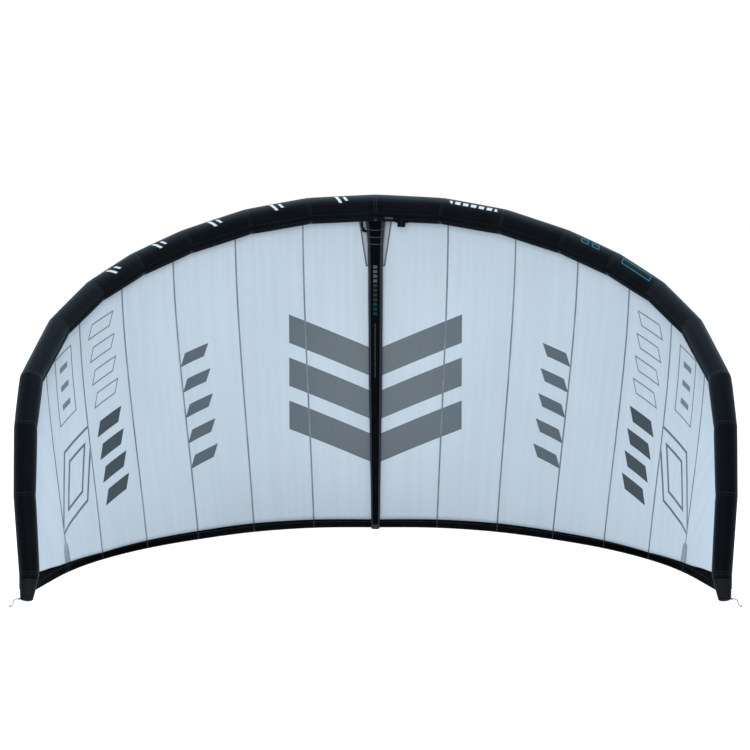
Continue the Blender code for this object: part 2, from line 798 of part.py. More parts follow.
def inflation_valve(parts, cutters, cutter, panel, le_bladder):
    place = valve_frame()
    neck = (
        (COLLAR_RADIUS, COLLAR_TOP),
        (COLLAR_RADIUS, FLANGE_TOP - FLANGE_LAP),
        (NECK_RADIUS, FLANGE_TOP - FLANGE_LAP),
        (NECK_RADIUS, -NECK_DEPTH),
        (VALVE_BORE, -NECK_DEPTH),
        (VALVE_BORE, COLLAR_TOP),
    )
    neck_solid = helper(turned("valve_neck", neck, place, cutters, closed=True))
    lap = NECK_RADIUS - FLANGE_LAP
    flange = ((FLANGE_RADIUS, FLANGE_TOP), (FLANGE_RADIUS, -FLANGE_DRAPE), (lap, -FLANGE_DRAPE), (lap, FLANGE_TOP))
    base = turned("valve_base", flange, place, parts, closed=True)
    boolean(base, "DIFFERENCE", cutter)
    boolean(base, "UNION", neck_solid)

    hole = NECK_RADIUS + NECK_CLEARANCE
    plug = ((0, CUT_OVERRUN), (hole, CUT_OVERRUN), (hole, -NECK_DEPTH - CUT_OVERRUN), (0, -NECK_DEPTH - CUT_OVERRUN))
    neck_hole = helper(turned("valve_hole", plug, place, cutters))
    boolean(panel, "DIFFERENCE", neck_hole)
    boolean(le_bladder, "DIFFERENCE", neck_hole)

    insert = VALVE_BORE - INSERT_PLAY
    seat = COLLAR_TOP + SEAM_GAP
    shoulder = seat + SHOULDER_HEIGHT
    body = (
        (COLLAR_RADIUS, shoulder),
        (COLLAR_RADIUS, seat),
        (insert, seat),
        (insert, -INSERT_DEPTH),
        (INSERT_BORE, -INSERT_DEPTH),
        (INSERT_BORE, shoulder),
    )
    valve = turned("valve_body", body, place, parts, closed=True)
    bm = bmesh.new()
    reach = COLLAR_RADIUS + GRIP_LENGTH
    inner = (insert + COLLAR_RADIUS) / 2
    for sign in (-1, 1):
        low, high = sorted((sign * inner, sign * reach))
        box(bm, (low, -GRIP_WIDTH / 2, seat + GRIP_MARGIN), (high, GRIP_WIDTH / 2, shoulder - GRIP_MARGIN))
    grips = helper(mesh_object("valve_grips", bm, cutters))
    grips.matrix_world = place
    boolean(valve, "UNION", grips)

    flap_top = -INSERT_DEPTH - SEAM_GAP
    radius = INSERT_BORE + FLAP_OVERLAP
    flap = ((0, flap_top), (radius, flap_top), (radius, flap_top - FLAP_THICKNESS), (0, flap_top - FLAP_THICKNESS))
    turned("valve_flap", flap, place, parts, colour=CHARCOAL)

    under = shoulder + SEAM_GAP
    plug_radius = INSERT_BORE - CAP_PLUG_PLAY
    cap = (
        (0, under + CAP_HEIGHT),
        (COLLAR_RADIUS - CAP_EDGE, under + CAP_HEIGHT),
        (COLLAR_RADIUS, under + CAP_HEIGHT - CAP_EDGE),
        (COLLAR_RADIUS, under),
        (plug_radius, under),
        (plug_radius, under - CAP_PLUG_DEPTH),
        (0, under - CAP_PLUG_DEPTH),
    )
    turned("valve_cap", cap, place, parts)


def batten_frame(side):
    """On the canopy's hollow side at the outermost rib: Y towards the trailing edge, Z off the cloth."""
    rib = side * (LAST_RIB - 1)
    t = band_start(rib) - (POCKET_LENGTH / 2 + POCKET_BACK) / chord_length(rib)
    step = POCKET_LENGTH / 2 / chord_length(rib)
    back = (sail_point(rib, t + step) - sail_point(rib, t - step)).normalized()
    off = -sail_normal(rib, t)
    off = (off - back * off.dot(back)).normalized()
    frame = Matrix((back.cross(off), back, off)).transposed().to_4x4()
    lift = CANOPY_THICKNESS / 2 + POCKET_LIFT
    return Matrix.Translation(sail_point(rib, t) + off * lift) @ frame


def prism(name, outline, low, high, collection, **look):
    """A flat outline given a thickness from low to high along local Z."""
    bm = bmesh.new()
    rings = [[Vector((x, y, z)) for x, y in outline] for z in (low, high)]
    rows = loft(bm, rings)
    bm.faces.new(rows[0])
    bm.faces.new(rows[-1])
    return mesh_object(name, bm, collection, **look)


def batten_pockets(parts, cutters):
    """Pockets drawn in at their upper end and open at the trailing edge, each with a flat batten inside."""
    half = POCKET_LENGTH / 2
    outline = [(across * POCKET_WIDTH / 2, along * half) for across, along in POCKET_OUTLINE_SHARES]
    outline += [(-x, y) for x, y in outline[-2::-1]]
    middle = POCKET_THICKNESS / 2
    inner_end = -half + BATTEN_END_PLAY
    for side, word in ((-1, "left"), (1, "right")):
        frame = batten_frame(side)
        pocket = prism(f"batten_pocket_{word}", outline, 0, POCKET_THICKNESS, parts, colour=CHARCOAL)
        bm = bmesh.new()
        wide = BATTEN_WIDTH / 2 + BATTEN_PLAY
        deep = BATTEN_THICKNESS / 2 + BATTEN_PLAY
        box(bm, (-wide, inner_end - BATTEN_PLAY, middle - deep), (wide, half + CUT_OVERRUN, middle + deep))
        slot = helper(mesh_object(f"batten_slot_{word}", bm, cutters))
        bm = bmesh.new()
        wide, deep = BATTEN_WIDTH / 2, BATTEN_THICKNESS / 2
        box(bm, (-wide, inner_end, middle - deep), (wide, half - BATTEN_INSET, middle + deep))
        batten = mesh_object(f"batten_{word}", bm, parts, colour=PALE_ROD)
        for obj in (pocket, slot, batten):
            obj.matrix_world = frame
        boolean(pocket, "DIFFERENCE", slot)


def tip_attachments(parts):
    """A webbing loop outside each tip, and the short pigtail cord that comes out of it."""
    for side, word in ((-1, "left"), (1, "right")):
        number = side * LAST_JOINT
        centre = JOINT_POINTS[number + LAST_JOINT]
        top = LOOP_HEIGHT + LOOP_THICKNESS / 2
        start_x = side * (centre.x * side + tube_radius(number) + SEAM_GAP)
        bm = bmesh.new()
        low, high = sorted((start_x, start_x + side * LOOP_LENGTH))
        box(
            bm,
            (low, centre.y - LOOP_WIDTH / 2, LOOP_HEIGHT - LOOP_THICKNESS / 2),
            (high, centre.y + LOOP_WIDTH / 2, top),
        )
        mesh_object(f"tip_loop_{word}", bm, parts, colour=CHARCOAL)
        exit_x = start_x + side * (LOOP_LENGTH + SEAM_GAP)
        route = [Vector((exit_x + side * x, centre.y + y, z)) for x, y, z in PIGTAIL_ROUTE]
        length = sum((b - a).length for a, b in zip(route, route[1:]))
        count = round(length / CORD_SPACING)
        points = [smooth_point(route, i * (len(route) - 1) / count) for i in range(count + 1)]
        curve_tube(f"pigtail_{word}", points, CORD_DIAMETER, parts, colour=GREY_CORD)


def main():
    for obj in list(bpy.data.objects):
        bpy.data.objects.remove(obj)
    parts = new_collection("kitesurfing_kite")
    cutters = new_collection("cutters")
    panels = leading_edge_panels(parts)
    le_bladder = leading_edge_bladder(parts)
    seam_tape(parts)
    canopy_panels(parts)
    trailing_edge_band(parts)
    cutter = leading_edge_cutter(SEAM_GAP, cutters, "leading_edge_seat")
    sleeve = strut_sleeve(parts, cutter)
    s_bladder = strut_bladder(parts, cutter)
    strut_tail_cap(parts)
    strut_patches(parts)
    route_ends = hose_ports(parts, cutters, panels[-1], le_bladder, sleeve, s_bladder)
    route = pump_hose(parts, *route_ends)
    hose_clip(parts, cutters, route)
    inflation_valve(parts, cutters, cutter, panels[1], le_bladder)
    batten_pockets(parts, cutters)
    tip_attachments(parts)


main()
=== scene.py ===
"""The looks of a single-strut inflatable kite that stands on its tips: sewn cloth tubes round air bladders, a
pale canopy with printed motifs, a black hem, a strut, a valve, a hose and two short cords."""

import functools
import math

import bmesh
import bpy
import numpy as np
from mathutils import Matrix, Vector, noise


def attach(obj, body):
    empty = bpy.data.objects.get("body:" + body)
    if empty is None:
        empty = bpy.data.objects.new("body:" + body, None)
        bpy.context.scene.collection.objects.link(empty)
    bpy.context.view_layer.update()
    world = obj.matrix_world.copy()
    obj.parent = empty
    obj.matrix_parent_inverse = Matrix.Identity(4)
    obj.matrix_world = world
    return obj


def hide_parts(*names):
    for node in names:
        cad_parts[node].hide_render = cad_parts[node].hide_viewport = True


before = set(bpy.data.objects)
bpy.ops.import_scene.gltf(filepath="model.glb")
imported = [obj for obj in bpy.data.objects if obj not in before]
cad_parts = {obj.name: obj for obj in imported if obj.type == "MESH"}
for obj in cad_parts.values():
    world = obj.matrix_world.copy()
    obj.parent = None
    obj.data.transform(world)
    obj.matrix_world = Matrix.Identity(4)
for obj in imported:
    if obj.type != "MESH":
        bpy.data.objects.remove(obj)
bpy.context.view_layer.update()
AIRFRAME = "airframe"
MM = 0.001

# The airframe's driving sizes and shares, as its solids have them
HALF_SPAN = 1.619
TIP_REACH = 1.477
NOSE_HEIGHT = 1.752
NOSE_DIAMETER = 0.140
SEAM_GAP = 0.3 * MM
BAND_THICKNESS = 1.6 * MM
TRAILING_EDGE_LIFT = 0.5 * MM
BAND_WIDTH = 0.045
STRUT_DIAMETER = 0.0785
TAIL_CAP_HEIGHT = 0.026
# Each joint of the leading edge: across, ahead, height, girth
JOINT_SHARES = (
    (0.000, 0.000, 1.000, 1.000),
    (0.218, 0.017, 0.990, 0.990),
    (0.415, 0.059, 0.957, 0.960),
    (0.606, 0.135, 0.898, 0.930),
    (0.752, 0.228, 0.833, 0.900),
    (0.867, 0.341, 0.759, 0.865),
    (0.952, 0.481, 0.667, 0.825),
    (1.000, 0.664, 0.539, 0.770),
    (0.992, 0.794, 0.424, 0.730),
    (0.977, 0.899, 0.258, 0.680),
    (0.955, 0.965, 0.065, 0.620),
    (0.957, 1.000, 0.0099, 0.410),
)
# Each rib: its place along the leading edge in joints, its trailing edge across and ahead, its camber
RIB_SHARES = (
    (0.00, 0.000, -0.096, 0.0510),
    (1.07, 0.209, -0.087, 0.0500),
    (2.15, 0.407, -0.013, 0.0360),
    (3.18, 0.580, 0.114, 0.0260),
    (4.22, 0.727, 0.260, 0.0210),
    (5.22, 0.841, 0.432, 0.0175),
    (6.17, 0.914, 0.612, 0.0135),
    (10.60, 0.964, 0.850, 0.0000),
)
BAND_RIBS = (0.0, 2.0, 3.0, 4.0, 5.0, 6.0, 6.2, 6.4, 6.6, 6.7, 6.76, 6.80, 6.84, 6.88)
BAND_WIDTH_SHARES = (1.0, 1.08, 1.02, 0.92, 0.79, 1.0, 1.05, 1.28, 1.56, 1.82, 2.2, 2.7, 3.6, 5.6)
CANOPY_END_RIB_SHARE = 6.88
KINK_FADE_POWER = 6
CAMBER_PEAK_SHARE = 6.75
STRUT_SHARES = (0.02, 0.05, 0.08, 0.12, 0.20, 0.27, 0.35, 0.45, 0.57, 0.70, 0.76, 0.81, 0.90, 1.00)
STRUT_GIRTHS = (1.32, 1.31, 1.20, 1.08, 1.0, 1.0, 0.985, 0.96, 0.92, 0.81, 0.77, 0.75, 0.655, 0.60)
LAST_JOINT = len(JOINT_SHARES) - 1
LAST_RIB = len(RIB_SHARES) - 1
SEAT = SEAM_GAP + BAND_THICKNESS / 2
TAIL_RADIUS = STRUT_DIAMETER * STRUT_GIRTHS[-1] / 2
NOSE_Y = RIB_SHARES[0][2] * TIP_REACH + TAIL_RADIUS + SEAT
SMALL_STEP_SHARE = 0.01

# The camera
SENSOR = 36.0
LENS = 72.0
CAMERA_PLACE = Vector((-0.0027, -8.1149, 1.701))
CAMERA_PITCH = math.radians(-6)


def mirrored_table(rows, signs):
    """A table for the right side, with the left side's rows before it."""
    right = np.array(rows, dtype=float)
    return np.vstack([right[:0:-1] * np.array(signs), right])


JOINTS = mirrored_table(JOINT_SHARES, (-1, 1, 1, 1))
RIBS = mirrored_table(RIB_SHARES, (-1, -1, 1, 1))
JOINT_NUMBERS = np.arange(-LAST_JOINT, LAST_JOINT + 1)
RIB_NUMBERS = np.arange(-LAST_RIB, LAST_RIB + 1)
JOINT_POINTS = [
    Vector((across * HALF_SPAN, NOSE_Y - ahead * TIP_REACH, height * NOSE_HEIGHT))
    for across, ahead, height, _ in JOINTS
]
TRAILING_POINTS = [
    Vector((across * HALF_SPAN, NOSE_Y - ahead * TIP_REACH, TRAILING_EDGE_LIFT))
    for _, across, ahead, _ in RIBS
]


def smooth_point(points, place):
    """A point on the smooth curve through the given points; the first one is at place zero."""
    last = len(points) - 1
    low = min(max(int(math.floor(place)), 0), last - 1)
    f = place - low
    p1, p2 = points[low], points[low + 1]
    p0 = points[low - 1] if low > 0 else p1 * 2 - p2
    p3 = points[low + 2] if low + 2 <= last else p2 * 2 - p1
    near = p1 * 2 + (p2 - p0) * f
    return (near + (p0 * 2 - p1 * 5 + p2 * 4 - p3) * f**2 + (p1 * 3 - p0 - p2 * 3 + p3) * f**3) / 2


def tube_radius(joint):
    return NOSE_DIAMETER / 2 * float(np.interp(joint, JOINT_NUMBERS, JOINTS[:, 3]))


def smooth_axis(joint):
    return smooth_point(JOINT_POINTS, joint + LAST_JOINT)


def trailing_point(rib):
    return smooth_point(TRAILING_POINTS, rib + LAST_RIB)


def joint_of_rib(rib):
    return float(np.interp(rib, RIB_NUMBERS, RIBS[:, 0]))


def rib_of_joint(joint):
    return float(np.interp(joint, RIBS[:, 0], RIB_NUMBERS))


@functools.cache
def tube_frame(number):
    """Along, aft and outward directions of the tube at a whole joint."""
    i = number + LAST_JOINT
    before = (JOINT_POINTS[i] - JOINT_POINTS[max(i - 1, 0)]).normalized()
    after = (JOINT_POINTS[min(i + 1, 2 * LAST_JOINT)] - JOINT_POINTS[i]).normalized()
    along = (before + after).normalized()
    chord = trailing_point(rib_of_joint(number)) - JOINT_POINTS[i]
    aft = (chord - along * chord.dot(along)).normalized()
    return along, aft, along.cross(aft)


def ring_point(number, angle, radius, shift=0.0):
    """A point around a whole joint: angle 0 faces aft, a quarter turn faces the canopy's outer side."""
    along, aft, outward = tube_frame(number)
    centre = JOINT_POINTS[number + LAST_JOINT] + along * shift
    return centre + (aft * math.cos(angle) + outward * math.sin(angle)) * radius


def joint_below(joint):
    return max(min(math.floor(joint), LAST_JOINT - 1), -LAST_JOINT)


def straight_axis(joint):
    """A point on the straight line between two neighbouring joints."""
    low = joint_below(joint)
    return JOINT_POINTS[low + LAST_JOINT].lerp(JOINT_POINTS[low + LAST_JOINT + 1], joint - low)


def tube_point(joint, angle, over=0.0):
    """A point over the tube's surface, on the straight line between its two neighbouring rings."""
    low = joint_below(joint)
    first, second = (ring_point(n, angle, tube_radius(n) + over) for n in (low, low + 1))
    return first.lerp(second, joint - low)


def chord_length(rib):
    return (trailing_point(rib) - smooth_axis(joint_of_rib(rib))).length


def camber_share(rib):
    return float(np.interp(rib, RIB_NUMBERS, RIBS[:, 3]))


def canopy_start_angle(rib):
    """Where round the leading edge's tube the canopy leaves it."""
    sink = math.asin(tube_radius(joint_of_rib(rib)) / chord_length(rib))
    rise = math.atan(CAMBER_PEAK_SHARE * camber_share(rib)) - sink
    return math.pi / 2 + rise


@functools.cache
def rib_curve(rib):
    """A rib's front, trailing end, outward direction, camber height and the leading edge's kink there."""
    joint, trailing = joint_of_rib(rib), trailing_point(rib)
    front = tube_point(joint, canopy_start_angle(rib), SEAT)
    before = smooth_axis(max(joint - SMALL_STEP_SHARE, -LAST_JOINT))
    after = smooth_axis(min(joint + SMALL_STEP_SHARE, LAST_JOINT))
    outward = (after - before).cross(trailing - smooth_axis(joint)).normalized()
    camber = chord_length(rib) * camber_share(rib)
    return front, trailing, outward, camber, straight_axis(joint) - smooth_axis(joint)


def sail_point(rib, t):
    """A point on the canopy's middle surface: t is 0 at the leading edge and 1 at the trailing edge."""
    front, trailing, outward, camber, kink = rib_curve(rib)
    level = (front - kink).lerp(trailing, t) + kink * (1 - t) ** KINK_FADE_POWER
    return level + outward * (camber * CAMBER_PEAK_SHARE * t * (1 - t) ** 2)


def sail_normal(rib, t):
    step = SMALL_STEP_SHARE
    along = sail_point(rib + step, t) - sail_point(rib - step, t)
    back = sail_point(rib, min(t + step, 1)) - sail_point(rib, max(t - step, 0))
    return along.cross(back).normalized()


def band_start(rib):
    share = float(np.interp(abs(rib), BAND_RIBS, BAND_WIDTH_SHARES))
    return max(0.0, 1 - BAND_WIDTH * share / chord_length(rib))


def strut_radius(share):
    return STRUT_DIAMETER / 2 * float(np.interp(share, STRUT_SHARES, STRUT_GIRTHS))


def strut_centre(t, radius):
    return sail_point(0, t) - sail_normal(0, t) * (radius + SEAT)


def side_word(side):
    return "left" if side < 0 else "right"


# Shader maths
class Socket:
    """A socket in a material's tree, on which sums are written as Python expressions."""

    def __init__(self, finish, output):
        self.finish, self.output = finish, output

    def math(self, operation, *others):
        return self.finish.node("ShaderNodeMath", {"operation": operation}, [self, *others])

    def __add__(self, other):
        return self.math("ADD", other)

    def __mul__(self, other):
        return self.math("MULTIPLY", other)

    def __sub__(self, other):
        return self.math("SUBTRACT", other)

    def __rsub__(self, other):
        return self.finish.node("ShaderNodeMath", {"operation": "SUBTRACT"}, [other, self])

    def __abs__(self):
        return self.math("ABSOLUTE")

    __radd__ = __add__
    __rmul__ = __mul__

    def lowest(self, other):
        return self.math("MINIMUM", other)

    def highest(self, other):
        return self.math("MAXIMUM", other)

    def repeat(self, pitch):
        """The distance from the middle of the nearest of many places, pitch apart."""
        return self.math("WRAP", pitch / 2, -pitch / 2)

    def fade(self, low, high):
        """0 below low and 1 above high, or the other way round if high is the lower."""
        sockets = {"Value": self, "From Min": min(low, high), "From Max": max(low, high)}
        sockets |= {"To Min": float(high < low), "To Max": float(low < high)}
        return self.finish.node("ShaderNodeMapRange", {"interpolation_type": "SMOOTHSTEP"}, sockets)

    def inside(self, soft=0.6 * MM):
        """A mask of the places where this distance is below zero."""
        return self.fade(soft, -soft)


class Finish:
    """A material with one Principled shader, whose constant values are set on its own sockets."""

    def __init__(self, name, **constants):
        self.material = bpy.data.materials.new(name)
        self.material.use_nodes = True
        self.tree = self.material.node_tree
        self.shader = self.tree.nodes["Principled BSDF"]
        self.set(**constants)

    def set(self, **values):
        for name, value in values.items():
            self.feed(self.shader.inputs[name.replace("_", " ")], value)

    def feed(self, target, value):
        if isinstance(value, Socket):
            self.tree.links.new(value.output, target)
        elif isinstance(value, tuple) and target.type == "RGBA":
            target.default_value = (*value[:3], 1.0)
        else:
            target.default_value = value

    def node(self, kind, settings, sockets, output=0):
        made = self.tree.nodes.new(kind)
        for name, value in settings.items():
            setattr(made, name, value)
        named = enumerate(sockets) if isinstance(sockets, list) else sockets.items()
        for name, value in named:
            self.feed(made.inputs[name], value)
        return Socket(self, made.outputs[output])

    def axes(self, source="Object"):
        """The three numbers of the object's coordinates, or the cloth's own."""
        place = self.node("ShaderNodeTexCoord", {}, [], source)
        return [self.node("ShaderNodeSeparateXYZ", {}, [place], i) for i in range(3)]

    def point(self, x, y, z=0.0):
        return self.node("ShaderNodeCombineXYZ", {}, [x, y, z])

    def noise(self, scale, detail=2.0, place=None):
        place = place or self.node("ShaderNodeTexCoord", {}, [], "Object")
        return self.node("ShaderNodeTexNoise", {}, {"Vector": place, "Scale": scale, "Detail": detail})

    def mix(self, share, first, second):
        sockets = {"Factor": share, 6: first, 7: second}
        return self.node("ShaderNodeMix", {"data_type": "RGBA"}, sockets, 2)

    def cloudy(self, scale, detail, first, second, low=0.3, high=0.7):
        """Starts the base colour as soft clouds of two colours."""
        self.set(Base_Color=self.mix(self.noise(scale, detail).fade(low, high), first, second))

    def paint(self, share, colour):
        """Lays a colour over the base colour."""
        base = Socket(self, self.shader.inputs["Base Color"].links[0].from_socket)
        self.set(Base_Color=self.mix(share, base, colour))

    def bump(self, height, distance, strength):
        sockets = {"Height": height, "Distance": distance, "Strength": strength}
        self.set(Normal=self.node("ShaderNodeBump", {}, sockets))

    def stitches(self, along, *acrosses):
        """A mask of rows of stitches, each where its across is 0."""
        threads = abs(along.repeat(STITCH_PITCH)) - STITCH_LENGTH / 2
        rows = [threads.highest(abs(across) - STITCH_WIDTH / 2).inside(0.3 * MM) for across in acrosses]
        return functools.reduce(Socket.highest, rows)


BLACK_CLOTH = (0.0014, 0.0022, 0.0032)
CHARCOAL_CLOTH = (0.0085, 0.0108, 0.0132)
TAPE_BLACK = (0.0026, 0.0036, 0.0048)
SLATE_CLOTH = (0.038, 0.045, 0.055)
PALE_CLOTH = (0.547, 0.647, 0.740)
PRINT_SLATE = (0.070, 0.098, 0.122)
PRINT_DARK = (0.022, 0.034, 0.046)
PRINT_LINE = (0.120, 0.155, 0.185)
THREAD_GREY = (0.075, 0.090, 0.100)
SEAM_GREY = (0.190, 0.230, 0.270)
POCKET_GREY = (0.235, 0.285, 0.330)
PATCH_GREY = (0.390, 0.460, 0.530)
BINDING_GREY = (0.110, 0.140, 0.175)
TEAL = (0.010, 0.140, 0.200)
LIGHT_PRINT = (0.50, 0.58, 0.64)
STRAP_GREY = (0.032, 0.036, 0.041)
LINE_GREY = (0.16, 0.16, 0.155)
SHEEN_TINT = (0.55, 0.75, 0.95)
STITCH_PITCH = 4.0 * MM
STITCH_LENGTH = 2.6 * MM
STITCH_WIDTH = 0.9 * MM
WEAVE_PITCH = 1.2 * MM
WEAVE_HEIGHT = 0.08 * MM


def scaled(colour, factor):
    return tuple(part * factor for part in colour)


def dacron(name, colour, sheen=0.03):
    """Tightly woven black sailcloth: soft sheen and faint cloudy wear."""
    finish = Finish(name, Roughness=0.5, Specular_IOR_Level=0.012)
    finish.set(Sheen_Weight=sheen, Sheen_Roughness=0.5, Sheen_Tint=SHEEN_TINT)
    finish.cloudy(9.0, 4.0, colour, scaled(colour, 1.5), 0.35, 0.75)
    return finish


def woven_bump(finish, u, v):
    """The over and under of a plain weave."""
    turn = 2 * math.pi / WEAVE_PITCH
    finish.bump((u * turn).math("SINE") * (v * turn).math("SINE"), WEAVE_HEIGHT, 0.5)


PANEL_STRIDE = 10.0
SLEEVE_MIDDLE = 43 * MM
SLEEVE_SEAM_PAIR = (26 * MM, 17 * MM)
MARK_ANGLE = 3.72
MARK_LEAN = 30 * MM
MARK_TURN_REACH = 60 * MM
MARK_LINE = (2 * MM, 2.2 * MM)
# Each mark on the leading edge: across, half width, half turn
PAIR_MARKS = ((-20 * MM, 8 * MM, 0.40), (18 * MM, 7 * MM, 0.24))
SLOT_MARKS = ((-35 * MM, 22 * MM, 0.22), (30 * MM, 22 * MM, 0.22))
ROW_MARK = (0.0, 125 * MM, 0.16)
ROW_CELL = (42 * MM, 14 * MM)
FRAME_MARK = (0.0, 95 * MM, 0.30)


def sleeve_finish(name, sheen):
    """The leading edge's cloth: a reinforced middle with faint seams, and generic marks on some panels."""
    finish = dacron(name, BLACK_CLOTH, sheen)
    along, angle, _ = finish.axes("UV")
    out = abs(finish.axes()[0])
    finish.paint((out - SLEEVE_MIDDLE).inside() * 0.5, scaled(BLACK_CLOTH, 0.4))
    middle, half = SLEEVE_SEAM_PAIR
    finish.paint((abs(abs(out - middle) - half) - 0.8 * MM).inside() * 0.08, THREAD_GREY)
    place, turn = along.repeat(PANEL_STRIDE), angle - MARK_ANGLE

    def bar(across, half_width, half_turn):
        reach = abs(place - turn * MARK_LEAN - across) - half_width
        return reach.highest((abs(turn) - half_turn) * MARK_TURN_REACH)

    def outline(distance):
        return abs(distance + MARK_LINE[0]) - MARK_LINE[1]

    def on_panels(distance, first, last):
        reach = PANEL_STRIDE * (last - first + 1) / 2
        return distance.highest(abs(along - PANEL_STRIDE * (first + last) / 2) - reach)

    pair = on_panels(bar(*PAIR_MARKS[0]).lowest(bar(*PAIR_MARKS[1])), -5, -1)
    row = on_panels((abs(place.repeat(ROW_CELL[0])) - ROW_CELL[1]).highest(bar(*ROW_MARK)), 2, 2)
    finish.paint(pair.lowest(row).inside() * 0.9, LIGHT_PRINT)
    slots = on_panels(outline(bar(*SLOT_MARKS[0]).lowest(bar(*SLOT_MARKS[1]))), 4, 4)
    finish.paint(slots.lowest(on_panels(outline(bar(*FRAME_MARK)), 5, 5)).inside(), TEAL)
    woven_bump(finish, along, angle * (NOSE_DIAMETER / 2))
    return finish


HEM_STITCH_PLACES = (4 * MM, 34 * MM)
# Where the hem's painted shade starts and ends, by length from the middle
HEM_SHADE_FADE = (0.6, 1.6)
RIB_SEAM_HALF = 1.2 * MM


def hem_finish(ribs):
    """Black cloth with a row of stitches near each edge, a seam at each of the ribs, and stitches beside the
    pockets, with painted shade that darkens it towards the wings. The first axis is the length from the
    middle, the second the way to the trailing edge."""
    finish = dacron("black_hem_cloth", TAPE_BLACK, 0.01)
    finish.set(Specular_IOR_Level=0.004)
    along, across, _ = finish.axes("UV")
    out = abs(along)
    # Painted shade: the hem darkens towards the wings
    finish.paint(out.fade(*HEM_SHADE_FADE), scaled(BLACK_CLOTH, 0.25))
    rows = finish.stitches(along, *[across - place for place in HEM_STITCH_PLACES])
    for rib in ribs:
        rows = rows.highest((abs(out - rib) - RIB_SEAM_HALF).inside())
    pocket = out - ribs[-2]
    rows = rows.highest(finish.stitches(across, pocket + POCKET_WIDTH / 2, pocket - POCKET_WIDTH / 2))
    finish.paint(rows, THREAD_GREY)
    woven_bump(finish, along, across)
    return finish


TAPE_INSET = 2.2 * MM


def tape_finish(name, colour, width, thread=1.0, sheen=0.03):
    """A sewn tape: a row of stitches along each edge."""
    finish = dacron(name, colour, sheen)
    along, across, _ = finish.axes("UV")
    finish.paint(finish.stitches(along, abs(across) - (width / 2 - TAPE_INSET)) * thread, THREAD_GREY)
    woven_bump(finish, along, across)
    return finish


PRINT_LINE_WIDTH = 7 * MM
# Each printed column: panel, across, its first cell's place, pitch, count, half width, half height, slant
SLABS = (3, 0.085, 0.62, 0.135, 5, 0.072, 0.030, 0.55)
SOLID_BARS = (5, 0.0, 0.70, 0.115, 4, 0.075, 0.034, 0.45)
OPEN_BARS = (5, 0.0, 0.21, 0.115, 4, 0.075, 0.034, 0.45)
TICKS = (6, -0.005, 0.255, 0.09, 3, 0.032, 0.014, 0.0)
DOTS = (7, -0.115, 0.16, 0.016, 17, 0.0045, 0.004, 0.0)
# Each printed outline: panel, across, down, half width, half height, slant
TICK_FRAME = (6, -0.005, 0.345, 0.070, 0.165, 0.0)
LARGE_FRAME = (6, -0.01, 0.800, 0.120, 0.170, 0.30)
SMALL_FRAME = (6, -0.01, 0.800, 0.070, 0.105, 0.30)


def print_masks(u, v):
    """The generic motifs on one wing's cloth. u is 10 m for each panel plus the distance from its middle
    line, outwards; v is the distance down from the leading edge."""

    def bar(panel, across, height, half_width, half_height, slant):
        local = u - (PANEL_STRIDE * panel + across)
        return (abs(local - height * slant) - half_width).highest(abs(height) - half_height)

    def column(panel, across, first, pitch, count, *shape):
        cells = bar(panel, across, (v - first).repeat(pitch), *shape)
        middle = first + pitch * (count - 1) / 2
        return cells.highest(abs(v - middle) - pitch * count / 2)

    def outlined(distance, line=PRINT_LINE_WIDTH):
        return (abs(distance + line / 2) - line / 2).inside()

    def frame_bar(panel, across, down, *shape):
        return bar(panel, across, v - down, *shape)

    fine_lines = outlined(column(*OPEN_BARS)).highest(outlined(frame_bar(*TICK_FRAME)))
    fine_lines = fine_lines.highest(column(*TICKS).inside())
    outlines = column(*DOTS).inside()
    for frame_shape in (LARGE_FRAME, SMALL_FRAME):
        outlines = outlines.highest(outlined(frame_bar(*frame_shape), 2 * PRINT_LINE_WIDTH))
    return column(*SLABS).inside(), column(*SOLID_BARS).inside(), fine_lines, outlines


EMBLEM_HEIGHT = 0.766
EMBLEM_HALF_WIDTH = 0.47
EMBLEM_BAND = 0.155
EMBLEM_PITCH = 0.235
EMBLEM_COUNT = 3
EMBLEM_SLOPE = 0.42
HATCH_PITCH = 11 * MM
HATCH_HALF = 4.3 * MM


def emblem_mask(finish):
    """Three broad chevrons across the middle of the canopy, and their fine slanting lines."""
    x, _, z = finish.axes()
    up = z - EMBLEM_HEIGHT
    folded = up - abs(x) * EMBLEM_SLOPE + EMBLEM_SLOPE * EMBLEM_HALF_WIDTH / 2
    solid = (abs(folded.repeat(EMBLEM_PITCH)) - EMBLEM_BAND / 2).highest(abs(x) - EMBLEM_HALF_WIDTH)
    solid = solid.highest(abs(folded) - EMBLEM_PITCH * EMBLEM_COUNT / 2)
    hatch = abs((x + up).repeat(HATCH_PITCH)) - HATCH_HALF
    return solid.inside(), hatch.inside(1.2 * MM)


RIPSTOP_PITCH = 5.0 * MM
RIPSTOP_LINE_HALF = 0.35 * MM
STREAK_SCALES = (34.0, 1.1)


